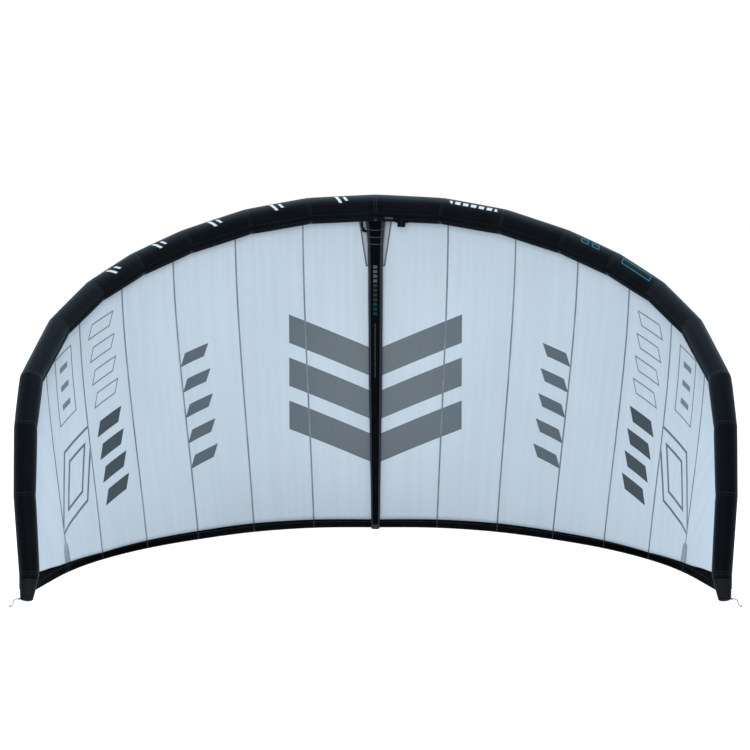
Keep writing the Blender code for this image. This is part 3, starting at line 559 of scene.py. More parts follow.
def canopy_finish():
    """Pale ripstop: fine grid, faint bands along the panels, prints that show on both sides."""
    finish = Finish("pale_ripstop_cloth", Roughness=0.42, Specular_IOR_Level=0.25)
    finish.set(Sheen_Weight=0.12, Sheen_Roughness=0.5)
    u, v, _ = finish.axes("UV")
    streaks = finish.noise(1.0, 3.0, finish.point(u * STREAK_SCALES[0], v * STREAK_SCALES[1]))
    tone = streaks.fade(0.3, 0.7) * 0.6 + finish.noise(2.2).fade(0.3, 0.7) * 0.4
    finish.set(Base_Color=finish.mix(tone, scaled(PALE_CLOTH, 0.955), scaled(PALE_CLOTH, 1.035)))
    lines, threads = (abs(axis.repeat(RIPSTOP_PITCH)) - RIPSTOP_LINE_HALF for axis in (u, v))
    grid = lines.lowest(threads).inside(0.25 * MM)
    finish.paint(grid * 0.16, scaled(PALE_CLOTH, 0.62))
    slabs, solid, fine_lines, outlines = print_masks(abs(u), v)
    emblem, hatch = emblem_mask(finish)
    finish.paint(emblem * (0.72 + hatch * 0.28), PRINT_SLATE)
    finish.paint(slabs * 0.95, PRINT_SLATE)
    finish.paint(solid * 0.95, PRINT_DARK)
    finish.paint(fine_lines * 0.9, PRINT_LINE)
    finish.paint(outlines * 0.9, PRINT_SLATE)
    finish.bump(grid + finish.noise(180.0) * 0.2, 0.12 * MM, 0.5)
    return finish


def plain_cloth(name, colour):
    """Trim cloth: a plain weave with a faint cloud."""
    finish = Finish(name, Roughness=0.5, Specular_IOR_Level=0.2, Sheen_Weight=0.2)
    u, v, _ = finish.axes("UV")
    finish.cloudy(30.0, 3.0, scaled(colour, 0.9), colour)
    woven_bump(finish, u, v)
    return finish


STRUT_STRIP_ANGLE = 0.72
STRUT_STRIP_TURN = 0.05
STRUT_SIDE_FADE = (1.55, 1.45)
# Each printed column: half width, pitch, a cell's half height and place, the column's middle and reach
STRUT_BLOCKS = (11 * MM, 26 * MM, 8.5 * MM, 0.297, 0.427, 0.143)
STRUT_TICKS = (3 * MM, 12 * MM, 3.4 * MM, 0.7, 0.76, 0.148)
BLOCK_SHADES = ((0.388, scaled(THREAD_GREY, 0.35)), (0.492, scaled(TEAL, 0.3)))


def strut_finish():
    """The strut's cloth: a dark middle strip between slate sides, with two printed columns."""
    finish = dacron("strut_sleeve_cloth", BLACK_CLOTH)
    down, angle, _ = finish.axes("UV")
    angle = angle - STRUT_STRIP_TURN
    side, arc = abs(angle), angle * (STRUT_DIAMETER / 2)
    slate = side.fade(STRUT_STRIP_ANGLE - 0.02, STRUT_STRIP_ANGLE + 0.02) * side.fade(*STRUT_SIDE_FADE)
    finish.paint(slate * down.fade(0.02, 0.05), SLATE_CLOTH)
    finish.paint((abs(side - STRUT_STRIP_ANGLE) - 0.012).inside(0.01) * 0.4, THREAD_GREY)

    def column(half_width, pitch, half_height, first, middle, reach):
        cells = (abs(arc) - half_width).highest(abs((down - first).repeat(pitch)) - half_height)
        return cells.highest(abs(down - middle) - reach).inside()

    shade = THREAD_GREY
    for place, colour in BLOCK_SHADES:
        shade = finish.mix(down.fade(place - MM, place + MM), shade, colour)
    finish.paint(column(*STRUT_BLOCKS), shade)
    finish.paint(column(*STRUT_TICKS) * 0.7, THREAD_GREY)
    woven_bump(finish, arc, down)
    return finish


def moulded(name, colour, roughness=0.38, gloss=0.35):
    """Moulded plastic or rubber with a fine grain."""
    finish = Finish(name, Roughness=roughness, Specular_IOR_Level=gloss)
    grain = finish.noise(1400.0)
    finish.cloudy(60.0, 2.0, colour, scaled(colour, 1.5))
    finish.set(Roughness=grain * 0.12 + (roughness - 0.06))
    finish.bump(grain, 0.04 * MM, 0.4)
    return finish


def line_finish():
    """A braided cord: crossing strands, on the cord's own length and turn."""
    finish = Finish("grey_line", Roughness=0.75, Specular_IOR_Level=0.2, Sheen_Weight=0.3)
    along, around, _ = finish.axes("UV")
    wound, twist = around * 4.0, along * (2 * math.pi / (CORD_DIAMETER * 1.5))
    strands = (twist + wound).math("SINE").highest((twist - wound).math("SINE"))
    # Painted shade: the grooves between the strands are darker
    finish.set(Base_Color=finish.mix(strands.fade(-0.2, 0.8), scaled(LINE_GREY, 0.35), LINE_GREY))
    finish.bump(strands, 0.25 * MM, 0.8)
    return finish


# Meshes
def to_piece(name, bm, finish):
    """A new object from a bmesh, with its finish, riding on the airframe."""
    mesh = bpy.data.meshes.new(name)
    bm.to_mesh(mesh)
    bm.free()
    mesh.shade_smooth()
    mesh.materials.append(finish.material)
    piece = bpy.data.objects.new(name, mesh)
    bpy.context.scene.collection.objects.link(piece)
    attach(piece, AIRFRAME)
    return piece


def grid_mesh(rows, cloth_places, closed=False):
    """Quads through rows of points. cloth_places(i, j, strip) gives the place on the cloth of the point in
    row i and column j, for the faces between the rows strip and strip + 1."""
    bm = bmesh.new()
    layer = bm.loops.layers.uv.new("UVMap")
    verts = [[bm.verts.new(point) for point in row] for row in rows]
    width = len(rows[0])
    for i in range(len(rows) - 1):
        for j in range(width if closed else width - 1):
            k = (j + 1) % width
            face = bm.faces.new((verts[i][j], verts[i][k], verts[i + 1][k], verts[i + 1][j]))
            corners = ((i, j), (i, j + 1), (i + 1, j + 1), (i + 1, j))
            for loop, (a, b) in zip(face.loops, corners):
                loop[layer].uv = cloth_places(a, b, i)
    return bm


def cloth_piece(name, rows, cloth_places, finish, thickness, offset=0.0, closed=False):
    """A piece of cloth through rows of points, with its thickness."""
    piece = to_piece(name, grid_mesh(rows, cloth_places, closed), finish)
    solidify = piece.modifiers.new("Cloth", "SOLIDIFY")
    solidify.thickness, solidify.offset = thickness, offset
    return piece


def even_steps(length, count, start=0.0):
    """Places along a length, in equal steps."""
    return [start + length * i / count for i in range(count + 1)]


def flat_places(along, across):
    """The place on flat cloth of each row and column of points."""
    return lambda a, b, strip: (along[a], across[b])


def ring_places(side_length, along):
    """The place on a band's cloth: the way round it, and the place across it of each row."""
    return lambda a, b, strip: (b * side_length, along[a])


def running_lengths(points):
    """How far each point is along the line through them."""
    return [0.0] + [float(x) for x in np.cumsum([(b - a).length for a, b in zip(points, points[1:])])]


def declare_sheet(piece, rows, held="stretched", **facts):
    """Measures a sheet's flat size along its middle row and column, and does nothing more with it."""
    middle_row, middle_column = rows[len(rows) // 2], [row[len(row) // 2] for row in rows]
    sides = [running_lengths(line)[-1] for line in (middle_row, middle_column)]


CANOPY_CLOTH = 0.7 * MM
PANEL_STEPS = 14
CHORD_STEPS = 72
CHORD_STEP_POWER = 1.15
CANOPY_LAP = 3 * MM
BILLOW = 4 * MM
CREASE = 1.6 * MM
CREASE_REACH = 0.10
WAVE = 1.3 * MM
WAVE_SCALES = (9.0, 1.6)
EDGE_HOLDS = (0.02, 0.03)
JOINT_CLEARANCE = 0.02
LAST_PANEL_SHARES = (6.08, 6.15, 6.23, 6.3, 6.36, 6.46, 6.53, 6.6, 6.68, 6.72, 6.76, 6.79, 6.81, 6.83, 6.845)


def panel_ribs(number):
    """Rib places across a panel of the right wing, with those of the leading edge's joints."""
    low, high = number - 1.0, float(number)
    places = [low + i / PANEL_STEPS for i in range(1, PANEL_STEPS)]
    if number == LAST_RIB:
        high, places = CANOPY_END_RIB_SHARE, LAST_PANEL_SHARES
    joints = [rib_of_joint(n) for n in range(LAST_JOINT)]
    joints = [rib for rib in joints if low + JOINT_CLEARANCE / 2 < rib < high - JOINT_CLEARANCE / 2]
    places = [rib for rib in places if all(abs(rib - other) > JOINT_CLEARANCE for other in joints)]
    return [low, high] + places + joints


def canopy_ribs(extra=()):
    """The places of the canopy's rows from wing to wing, with extra ones in both wings."""
    right = sorted({rib for number in range(1, LAST_RIB + 1) for rib in panel_ribs(number)} | set(extra))
    return [-rib for rib in right[:0:-1]] + right


def ruffle(rib, t):
    """How far the cloth stands off its middle surface: each panel's billow, and creases that fan out from
    the joints of the leading edge."""
    billow = math.sin(math.pi * (abs(rib) % 1.0)) * math.sin(math.pi * min(1.0, t * 1.2 + 0.05)) * BILLOW
    joint = joint_of_rib(rib)
    off_joint = abs(joint - round(joint)) / CREASE_REACH
    crease = math.exp(-(off_joint**2)) * math.exp(-t / CREASE_REACH) * CREASE
    waves = noise.noise(Vector((rib * WAVE_SCALES[0], t * WAVE_SCALES[1], 3.1))) * WAVE
    hold = min(1.0, t / EDGE_HOLDS[0]) * min(1.0, (1 - t) / EDGE_HOLDS[1])
    return (billow + waves - crease) * hold


def canopy():
    """The whole canopy as one curved sheet, from the leading edge to the hem band, with its seams."""
    ribs = canopy_ribs()
    shares = [(i / CHORD_STEPS) ** CHORD_STEP_POWER for i in range(CHORD_STEPS + 1)]
    rows = []
    for rib in ribs:
        end = band_start(rib) + CANOPY_LAP / chord_length(rib)
        rows.append([
            sail_point(rib, share * end) + sail_normal(rib, share * end) * ruffle(rib, share)
            for share in shares
        ])
    downs = [running_lengths(row) for row in rows]
    across = [running_lengths(column) for column in zip(*rows)]
    middles = {
        side * number: [np.interp(side * (number - 0.5), ribs, line) for line in across]
        for number in range(1, LAST_RIB + 1) for side in (-1, 1)
    }

    def cloth_place(a, b, strip):
        rib = (ribs[strip] + ribs[strip + 1]) / 2
        panel = int(math.copysign(math.ceil(abs(rib)), rib))
        return PANEL_STRIDE * panel + across[b][a] - middles[panel][b], downs[a][b]

    piece = cloth_piece("canopy", rows, cloth_place, canopy_finish(), CANOPY_CLOTH)
    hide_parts(*[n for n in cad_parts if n.startswith("canopy_panel")])
    declare_sheet(piece, rows, with_pieces=canopy_seams())


STRIP_STEPS = 4


def cloth_strip(name, line, across, width, finish, thickness):
    """A strip of cloth along a line of points, with its cross direction at each point."""
    places = even_steps(width, STRIP_STEPS, -width / 2)
    rows = [[point + direction * place for place in places] for point, direction in zip(line, across)]
    return cloth_piece(name, rows, flat_places(running_lengths(line), places), finish, thickness), rows


SEAM_WIDTH = 9 * MM
SEAM_CLOTH = 1.3 * MM
SEAM_STEPS = 48


def canopy_seams():
    """The lapped seams between the canopy's panels, from the leading edge to the hem band."""
    finish = tape_finish("seam_cloth", SEAM_GREY, SEAM_WIDTH)
    made = []
    for number in [n for n in range(-LAST_RIB + 1, LAST_RIB) if n]:
        line, across = [], []
        for i in range(SEAM_STEPS + 1):
            t = i / SEAM_STEPS * band_start(number)
            line.append(sail_point(number, t) + sail_normal(number, t) * ruffle(number, i / SEAM_STEPS))
            beside = [sail_point(number + step, t) for step in (SMALL_STEP_SHARE, -SMALL_STEP_SHARE)]
            across.append((beside[0] - beside[1]).normalized())
        name = f"canopy_seam_{side_word(number)}_{abs(number)}"
        made.append(cloth_strip(name, line, across, SEAM_WIDTH, finish, SEAM_CLOTH)[0])
    return made


HEM_CLOTH = 1.5 * MM
HEM_STEPS = 8
CORNER_SHARES = (6.90, 6.92, 6.94, 6.96, 6.98, 7.0)


def hem_band():
    """The black band that closes the trailing edge and fills the corners at the tips."""
    ribs = canopy_ribs(CORNER_SHARES)
    rows = []
    for rib in ribs:
        start = band_start(rib)
        rows.append([sail_point(rib, start + (1 - start) * i / HEM_STEPS) for i in range(HEM_STEPS + 1)])
    lengths = running_lengths([row[-1] for row in rows])
    places = [length - lengths[len(rows) // 2] for length in lengths]
    widths = [[(row[-1] - point).length for point in row] for row in rows]
    finish = hem_finish([place for rib, place in zip(ribs, places) if rib > 0 and rib == int(rib)])

    def cloth_place(a, b, strip):
        return places[a], widths[a][b]

    piece = cloth_piece("hem_band", rows, cloth_place, finish, HEM_CLOTH)
    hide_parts("trailing_edge_band")
    declare_sheet(piece, rows)


SLEEVE_SIDES = 112
SLEEVE_SHEEN = 0.20
# Less sheen for the panels and seams past LAST_UPPER_JOINT: painted shade
SHADED_SLEEVE_SHEEN = 0.08
LAST_UPPER_JOINT = 7
# The turns round the sleeve whose faces get a shaded copy with less sheen: painted shade on the underside
SHADED_UNDERSIDE_TURNS = (0.84, 0.99)
SLEEVE_CLOTH = 1.0 * MM
SEAM_DIP = 1.3 * MM
SEAM_DIP_REACH = 10 * MM
PUCKER = 0.8 * MM
PUCKER_REACH = 35 * MM
SWELL = 0.5 * MM
FOLD_SCALES = (5.5, 3.7)
SLEEVE_SHARES = [0.0, 0.008, 0.017, 0.027, 0.04, 0.057, 0.08, 0.11, 0.15, 0.2, 0.27, 0.34, 0.42, 0.5]
SLEEVE_SHARES += [1 - share for share in SLEEVE_SHARES[-2::-1]]


def sleeve_point(joint, angle, over=0.0):
    """A point of the leading edge's cloth: drawn in and puckered at the seams, swollen between them."""
    low, seam = joint_below(joint), round(joint)
    base = tube_point(joint, angle)
    outward = (base - straight_axis(joint)).normalized()
    near = abs(joint - seam) * (JOINT_POINTS[low + 1 + LAST_JOINT] - JOINT_POINTS[low + LAST_JOINT]).length
    round_scale, along_scale = FOLD_SCALES
    place = Vector((math.cos(angle) * round_scale, math.sin(angle) * round_scale, seam * along_scale))
    fold = PUCKER * noise.noise(place) * math.exp(-near / PUCKER_REACH)
    dip = SEAM_DIP * math.exp(-near / SEAM_DIP_REACH) + fold if abs(seam) < LAST_JOINT else 0.0
    return base + outward * (over + SWELL * math.sin(math.pi * (joint - low)) - dip)


def turn_angles(sides):
    return [2 * math.pi * i / sides for i in range(sides)]


def sleeve_ring(joint, over=0.0):
    return [sleeve_point(joint, angle, over) for angle in turn_angles(SLEEVE_SIDES)]


def middle_lengths(rows):
    """How far each ring of points is along the line through the rings' middles."""
    return running_lengths([sum(row, Vector()) / len(row) for row in rows])


def tube_places(rows, lengths, shift=0.0):
    """The place on a tube's cloth: the length along it, and the angle round it."""
    return lambda a, b, strip: (lengths[a], 2 * math.pi * b / len(rows[0]) + shift)


def tube_piece(name, rows, lengths, finish, shift=0.0):
    """A tube of black cloth through rings of points."""
    places = tube_places(rows, lengths, shift)
    return cloth_piece(name, rows, places, finish, SLEEVE_CLOTH, -1, closed=True)


def solid_tube(name, rows, lengths, finish):
    """A tube through rings of points, closed at both ends."""
    bm = grid_mesh(rows, tube_places(rows, lengths), closed=True)
    bm.verts.ensure_lookup_table()
    bm.faces.new(bm.verts[:len(rows[0])][::-1])
    bm.faces.new(bm.verts[-len(rows[0]):])
    return to_piece(name, bm, finish)


def leading_edge_sleeves():
    """The leading edge's cloth: one panel between each two joints. The underside and the panels past
    LAST_UPPER_JOINT get shaded copies of the finish with less sheen, as painted shade.
    """
    upper = sleeve_finish("black_sleeve_cloth", SLEEVE_SHEEN)
    # Shaded copies of the sleeve's finish, with less sheen: painted shade on the lower panels and the
    # underside
    lower = sleeve_finish("black_sleeve_cloth_shaded", SHADED_SLEEVE_SHEEN)
    under = dacron("black_sleeve_underside_shaded", BLACK_CLOTH)
    for side in (-1, 1):
        for number in range(1, LAST_JOINT):
            low = min(side * (number - 1), side * number)
            rows = [sleeve_ring(low + share) for share in SLEEVE_SHARES]
            lengths = middle_lengths(rows)
            middle = PANEL_STRIDE * side * number - lengths[-1] / 2
            word = f"{side_word(side)}_{number:02d}"
            finish = lower if number > LAST_UPPER_JOINT else upper
            piece = tube_piece(f"sleeve_panel_{word}", rows, [middle + x for x in lengths], finish)
            piece.data.materials.append(under.material)
            for face in piece.data.polygons:
                turn = face.index % SLEEVE_SIDES / SLEEVE_SIDES
                face.material_index = int(SHADED_UNDERSIDE_TURNS[0] < turn < SHADED_UNDERSIDE_TURNS[1])
            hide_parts(f"leading_edge_panel_{word}")


RING_WIDTH = 16 * MM
RING_STEPS = (-0.5, -0.45, -0.25, 0.0, 0.25, 0.45, 0.5)
RING_OVER = 0.55 * MM
RING_EDGE_OVER = -0.2 * MM


def sleeve_rings():
    """The lapped seams round the leading edge at its joints."""
    upper = tape_finish("sleeve_seam_cloth", BLACK_CLOTH, RING_WIDTH, 0.6, SLEEVE_SHEEN)
    # A shaded copy with less sheen and fainter stitches for the seams past LAST_UPPER_JOINT: painted shade
    lower = tape_finish("sleeve_seam_cloth_shaded", BLACK_CLOTH, RING_WIDTH, 0.4, SHADED_SLEEVE_SHEEN)
    for number in range(1 - LAST_JOINT, LAST_JOINT):
        rows = []
        for step in RING_STEPS:
            other = number + (1 if step > 0 else -1)
            length = (JOINT_POINTS[other + LAST_JOINT] - JOINT_POINTS[number + LAST_JOINT]).length
            over = RING_OVER if abs(step) < 0.5 else RING_EDGE_OVER
            rows.append(sleeve_ring(number + step * RING_WIDTH / length, over))
        size = (2 * math.pi * tube_radius(number), RING_WIDTH)
        places = ring_places(size[0] / SLEEVE_SIDES, [step * RING_WIDTH for step in RING_STEPS])
        name = f"sleeve_seam_{side_word(number)}_{abs(number):02d}" if number else "sleeve_seam_middle"
        finish = lower if abs(number) > LAST_UPPER_JOINT else upper
        piece = cloth_piece(name, rows, places, finish, SLEEVE_CLOTH / 2, -1, closed=True)


TAPE_ANGLES = [math.radians(-75 + 5 * i) for i in range(7)]
TAPE_OVER = 0.7 * MM
TAPE_CLOTH = 1.0 * MM


def closing_tape():
    """The tape over the sleeve's closing seam, along its hollow side."""
    joints = [low + x for low in range(1 - LAST_JOINT, LAST_JOINT - 1) for x in SLEEVE_SHARES[:-1:2]]
    joints.append(LAST_JOINT - 1)
    rows = [[sleeve_point(joint, angle, TAPE_OVER) for angle in TAPE_ANGLES] for joint in joints]
    width = NOSE_DIAMETER / 2 * (TAPE_ANGLES[-1] - TAPE_ANGLES[0])
    finish = tape_finish("closing_tape_cloth", TAPE_BLACK, width, 0.4)
    across = even_steps(width, len(TAPE_ANGLES) - 1, -width / 2)
    middle = len(TAPE_ANGLES) // 2
    places = flat_places(running_lengths([row[middle] for row in rows]), across)
    piece = cloth_piece("sleeve_closing_tape", rows, places, finish, TAPE_CLOTH)
    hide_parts("leading_edge_seam_tape")
    declare_sheet(piece, rows)


STRAP_JOINTS = (0.14, 0.27)
STRAP_TURNS = [math.radians(-54 + 2.5 * i) for i in range(5)]
STRAP_STEPS = 12
STRAP_OVER = 2.0 * MM
STRAP_CLOTH = 1.5 * MM


def valve_strap():
    """The short strap on the sleeve between the strut's head and the valve."""
    low, high = STRAP_JOINTS
    joints = even_steps(high - low, STRAP_STEPS, low)
    rows = [[sleeve_point(joint, angle, STRAP_OVER) for angle in STRAP_TURNS] for joint in joints]
    long, wide = (rows[-1][2] - rows[0][2]).length, (rows[0][-1] - rows[0][0]).length
    places = flat_places(even_steps(long, STRAP_STEPS), even_steps(wide, len(STRAP_TURNS) - 1))
    finish = plain_cloth("strap_cloth", STRAP_GREY)
    declare_sheet(cloth_piece("valve_strap", rows, places, finish, STRAP_CLOTH), rows)


FRONT_TAPE_EDGE_TURNS = (0.34, 0.32)
FRONT_TAPE_TURNS = (0.22, 0.11, 0.0)
FRONT_TAPE_REACH = (8 * MM, 16 * MM, 17 * MM)
FRONT_TAPE_END_SHARES = (6.9, 6.95, 7.0)
FRONT_TAPE_CLOTH = 0.8 * MM


def canopy_front_tape():
    """The tape that sews the canopy's front to the leading edge, on the outer side."""
    rows = []
    for rib in canopy_ribs(FRONT_TAPE_END_SHARES):
        joint, start = joint_of_rib(rib), canopy_start_angle(rib)
        row = [sleeve_point(joint, start + turn, SEAT + TAPE_OVER) for turn in FRONT_TAPE_EDGE_TURNS]
        row += [tube_point(joint, start + turn, SEAT + TAPE_OVER + SWELL) for turn in FRONT_TAPE_TURNS]
        for reach in FRONT_TAPE_REACH:
            t = min(0.5, reach / chord_length(rib))
            lift = BAND_THICKNESS / 2 + TAPE_OVER + ruffle(rib, t)
            row.append(sail_point(rib, t) + sail_normal(rib, t) * lift)
        rows.append(row)
    wide = running_lengths(rows[0])
    finish = tape_finish("canopy_front_tape_cloth", BLACK_CLOTH, wide[-1])
    places = flat_places(running_lengths([row[4] for row in rows]), [x - wide[-1] / 2 for x in wide])
    piece = cloth_piece("canopy_front_tape", rows, places, finish, FRONT_TAPE_CLOTH)
    declare_sheet(piece, rows)


TIP_END_SHARES = (0.02, 0.06, 0.10, 0.135, 0.17, 0.20, 0.23, 0.255, 0.275, 0.29, 0.30, 0.305)
TIP_END_GIRTHS = (1.0, 0.985, 0.965, 0.94, 0.905, 0.865, 0.81, 0.74, 0.65, 0.5, 0.3, 0.1)


def tip_caps():
    """The rounded ends of the leading edge, of reinforcement cloth."""
    finish, radius = tip_finish(), tube_radius(LAST_JOINT)
    for side in (-1, 1):
        rows = [sleeve_ring(side * (LAST_JOINT - 1 + share)) for share in SLEEVE_SHARES]
        for share, girth in zip(TIP_END_SHARES, TIP_END_GIRTHS):
            rows.append([
                ring_point(side * LAST_JOINT, a, girth * radius, side * share * radius)
                for a in turn_angles(SLEEVE_SIDES)
            ])
        lengths = middle_lengths(rows)
        if side < 0:
            rows, lengths = rows[::-1], lengths[::-1]
        piece = solid_tube(f"sleeve_tip_{side_word(side)}", rows, lengths, finish)
        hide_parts(f"tip_cap_{side_word(side)}")


TIP_STITCH_PLACES = (30 * MM, 112 * MM)
TIP_CHARCOAL = (33 * MM, 109 * MM)


def tip_finish():
    """The tip's cloth, by distance from the last seam: black, charcoal, then the black end."""
    finish = dacron("tip_reinforcement_cloth", BLACK_CLOTH, 0.05)
    along, angle, _ = finish.axes("UV")
    low, high = TIP_CHARCOAL
    finish.paint(along.fade(low, low + MM) * along.fade(high, high - MM), CHARCOAL_CLOTH)
    arc = angle * tube_radius(LAST_JOINT)
    finish.paint(finish.stitches(arc, *[along - place for place in TIP_STITCH_PLACES]), THREAD_GREY)
    woven_bump(finish, along, arc)
    return finish


STRUT_SIDES = 96
STRUT_STEPS = 96
STRUT_SEAM_DIP = 0.6 * MM
STRUT_SEAM_REACH = 0.035
STRUT_WAVE = 0.7 * MM
STRUT_WAVE_SCALES = (1.6, 9.0)
STRUT_RINGS = (0.085, 0.128, 0.169)
STRUT_RING_HALF = 1.8 * MM
STRUT_RING_STEPS = (-2, -1.8, 0, 1.8, 2)
STRUT_RING_OVER = (-0.2 * MM, 0.4 * MM, 0.4 * MM, 0.4 * MM, -0.2 * MM)
STRUT_RING_CLOTH = 0.5 * MM


def strut_ring(share, over=0.0):
    """A ring of the strut's cloth, from its outer side round; it dips along its two long seams."""
    t = share * band_start(0)
    radius = strut_radius(share)
    out, right, centre = sail_normal(0, t), Vector((1, 0, 0)), strut_centre(t, radius)
    round_scale, along_scale = STRUT_WAVE_SCALES
    ring = []
    for angle in turn_angles(STRUT_SIDES):
        off_seam = abs(abs(angle - math.pi) - STRUT_STRIP_ANGLE) / STRUT_SEAM_REACH
        place = Vector((math.cos(angle) * round_scale, math.sin(angle) * round_scale, share * along_scale))
        reach = radius + over + noise.noise(place) * STRUT_WAVE - STRUT_SEAM_DIP * math.exp(-(off_seam**2))
        ring.append(centre + (out * math.cos(angle) + right * math.sin(angle)) * reach)
    return ring


def tail_centre():
    """Where the strut's axis passes the top of its tail cap."""
    low, high = strut_centre(band_start(0), TAIL_RADIUS), strut_centre(1, TAIL_RADIUS)
    return low.lerp(high, (low.z - TAIL_CAP_HEIGHT) / (low.z - high.z))


def strut_pieces():
    """The strut's cloth and its ring seams."""
    first = STRUT_SHARES[0]
    shares = even_steps(1 - first, STRUT_STEPS, first)
    rows = [strut_ring(share) for share in shares]
    foot = [Vector((math.sin(a), math.cos(a), 0)) * TAIL_RADIUS for a in turn_angles(STRUT_SIDES)]
    centre = tail_centre()
    rows.append([centre + point for point in foot])
    lengths = middle_lengths(rows)
    piece = tube_piece("strut_cloth", rows, lengths, strut_finish(), shift=-math.pi)
    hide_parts("strut_sleeve")
    finish = plain_cloth("strut_seam_cloth", scaled(THREAD_GREY, 0.7))
    for number, place in enumerate(STRUT_RINGS, 1):
        share = float(np.interp(place, lengths[:-1], shares))
        step = STRUT_RING_HALF / chord_length(0)
        rings = [strut_ring(share + k * step / 2, over) for k, over in zip(STRUT_RING_STEPS, STRUT_RING_OVER)]
        across = even_steps(2 * STRUT_RING_HALF, len(rings) - 1, -STRUT_RING_HALF)
        places = ring_places(strut_radius(share) * 2 * math.pi / STRUT_SIDES, across)
        name, slot = f"strut_seam_{number}", "black_dacron"
        cloth_piece(name, rings, places, finish, STRUT_RING_CLOTH, -1, closed=True)


PATCH_ROWS = 40
PATCH_COLUMNS = 16
PATCH_INNER_SHARE = 0.085
PATCH_STATIONS = (0.02, 0.05, 0.08, 0.12, 0.20)
PATCH_OUTER_SHARES = (0.249, 0.230, 0.210, 0.185, 0.133)
PATCH_SINK = 1.3 * MM
PATCH_CLOTH = 0.9 * MM
PATCH_BINDING = 8 * MM
PATCH_BINDING_CLOTH = 1.7 * MM
PATCH_BINDING_STEPS = 24
PATCH_BINDING_INSETS = (-0.15, 0.0, 0.5, 1.0)


def patch_point(side, across, down):
    """A point of a reinforcement patch: across 0 to 1 away from the strut, down 0 to 1 from its top."""
    share = PATCH_STATIONS[0] + (PATCH_STATIONS[-1] - PATCH_STATIONS[0]) * down
    outer = float(np.interp(share, PATCH_STATIONS, PATCH_OUTER_SHARES))
    rib = side * (PATCH_INNER_SHARE + (outer - PATCH_INNER_SHARE) * across)
    t = share * band_start(rib)
    return sail_point(rib, t) + sail_normal(rib, t) * (ruffle(rib, share) - PATCH_SINK)


def strut_patches():
    """The pale patches beside the strut's head, each with a dark binding round it."""
    cloth = plain_cloth("patch_cloth", PATCH_GREY)
    edge = plain_cloth("patch_binding_cloth", BINDING_GREY)
    for side in (-1, 1):
        word = side_word(side)
        rows = [
            [patch_point(side, j / PATCH_COLUMNS, i / PATCH_ROWS) for j in range(PATCH_COLUMNS + 1)]
            for i in range(PATCH_ROWS + 1)
        ]
        high = running_lengths([row[0] for row in rows])[-1]
        wide = (rows[0][-1] - rows[0][0]).length
        places = flat_places(even_steps(high, PATCH_ROWS), even_steps(wide, PATCH_COLUMNS))
        piece = cloth_piece(f"patch_{word}", rows, places, cloth, PATCH_CLOTH)
        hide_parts(f"strut_patch_{word}")
        declare_sheet(piece, rows, with_pieces=[patch_binding(side, high, edge)])


def patch_binding(side, high, finish):
    """A flat frame of binding round a patch."""
    shares = [i / PATCH_BINDING_STEPS for i in range(PATCH_BINDING_STEPS)]
    outline = [(x, 0.0) for x in shares] + [(1.0, x) for x in shares]
    outline += [(1 - x, 1.0) for x in shares] + [(0.0, 1 - x) for x in shares]
    rows = []
    for inset in PATCH_BINDING_INSETS:
        ring = []
        for across, down in outline:
            wide = (patch_point(side, 1, down) - patch_point(side, 0, down)).length
            place = []
            for share, size in ((across, wide), (down, high)):
                reach = inset * PATCH_BINDING / size
                place.append(min(max(share, reach), 1 - reach))
            ring.append(patch_point(side, *place))
        rows.append(ring)
    round_step = 2 * (high + PATCH_BINDING) / len(outline)
    places = ring_places(round_step, even_steps(PATCH_BINDING, len(rows) - 1))
    name, slot = f"patch_binding_{side_word(side)}", "canopy_reinforcement"
    return cloth_piece(name, rows, places, finish, PATCH_BINDING_CLOTH, closed=True)


POCKET_LENGTH = 0.085
POCKET_WIDTH = 0.048
POCKET_BACK = 8.5 * MM
POCKET_LIFT = 1.6 * MM
POCKET_EDGE = 1.2 * MM
POCKET_REACH_SHARE = 0.15
POCKET_PLACES = (-1.0, -0.98, -0.94, -0.55, 0.0, 1.0)
POCKET_WIDTH_SHARES = (0.40, 0.50, 0.56, 0.78, 0.86, 1.0)
POCKET_ROWS = 44
POCKET_COLUMNS = 20
POCKET_CROWN_HALF = 6.5 * MM
POCKET_CROWN_START = 0.08
POCKET_CROWN = 3.4 * MM
POCKET_CROWN_POWER = 0.7
POCKET_SIDE_HEIGHT = 0.2 * MM
POCKET_CLOTH = 0.8 * MM
POCKET_STITCH_PLACE = POCKET_WIDTH / 2 * 0.62


def batten_frame(side):
    """On the canopy's hollow side at the outermost rib: Y towards the trailing edge, Z off the cloth."""
    rib = side * (LAST_RIB - 1)
    t = band_start(rib) - (POCKET_LENGTH / 2 + POCKET_BACK) / chord_length(rib)
    step = POCKET_LENGTH / 2 / chord_length(rib)
    back = (sail_point(rib, t + step) - sail_point(rib, t - step)).normalized()
    off = -sail_normal(rib, t)
    off = (off - back * off.dot(back)).normalized()
    turn = Matrix((back.cross(off), back, off)).transposed().to_4x4()
    return Matrix.Translation(sail_point(rib, t) + off * POCKET_LIFT) @ turn


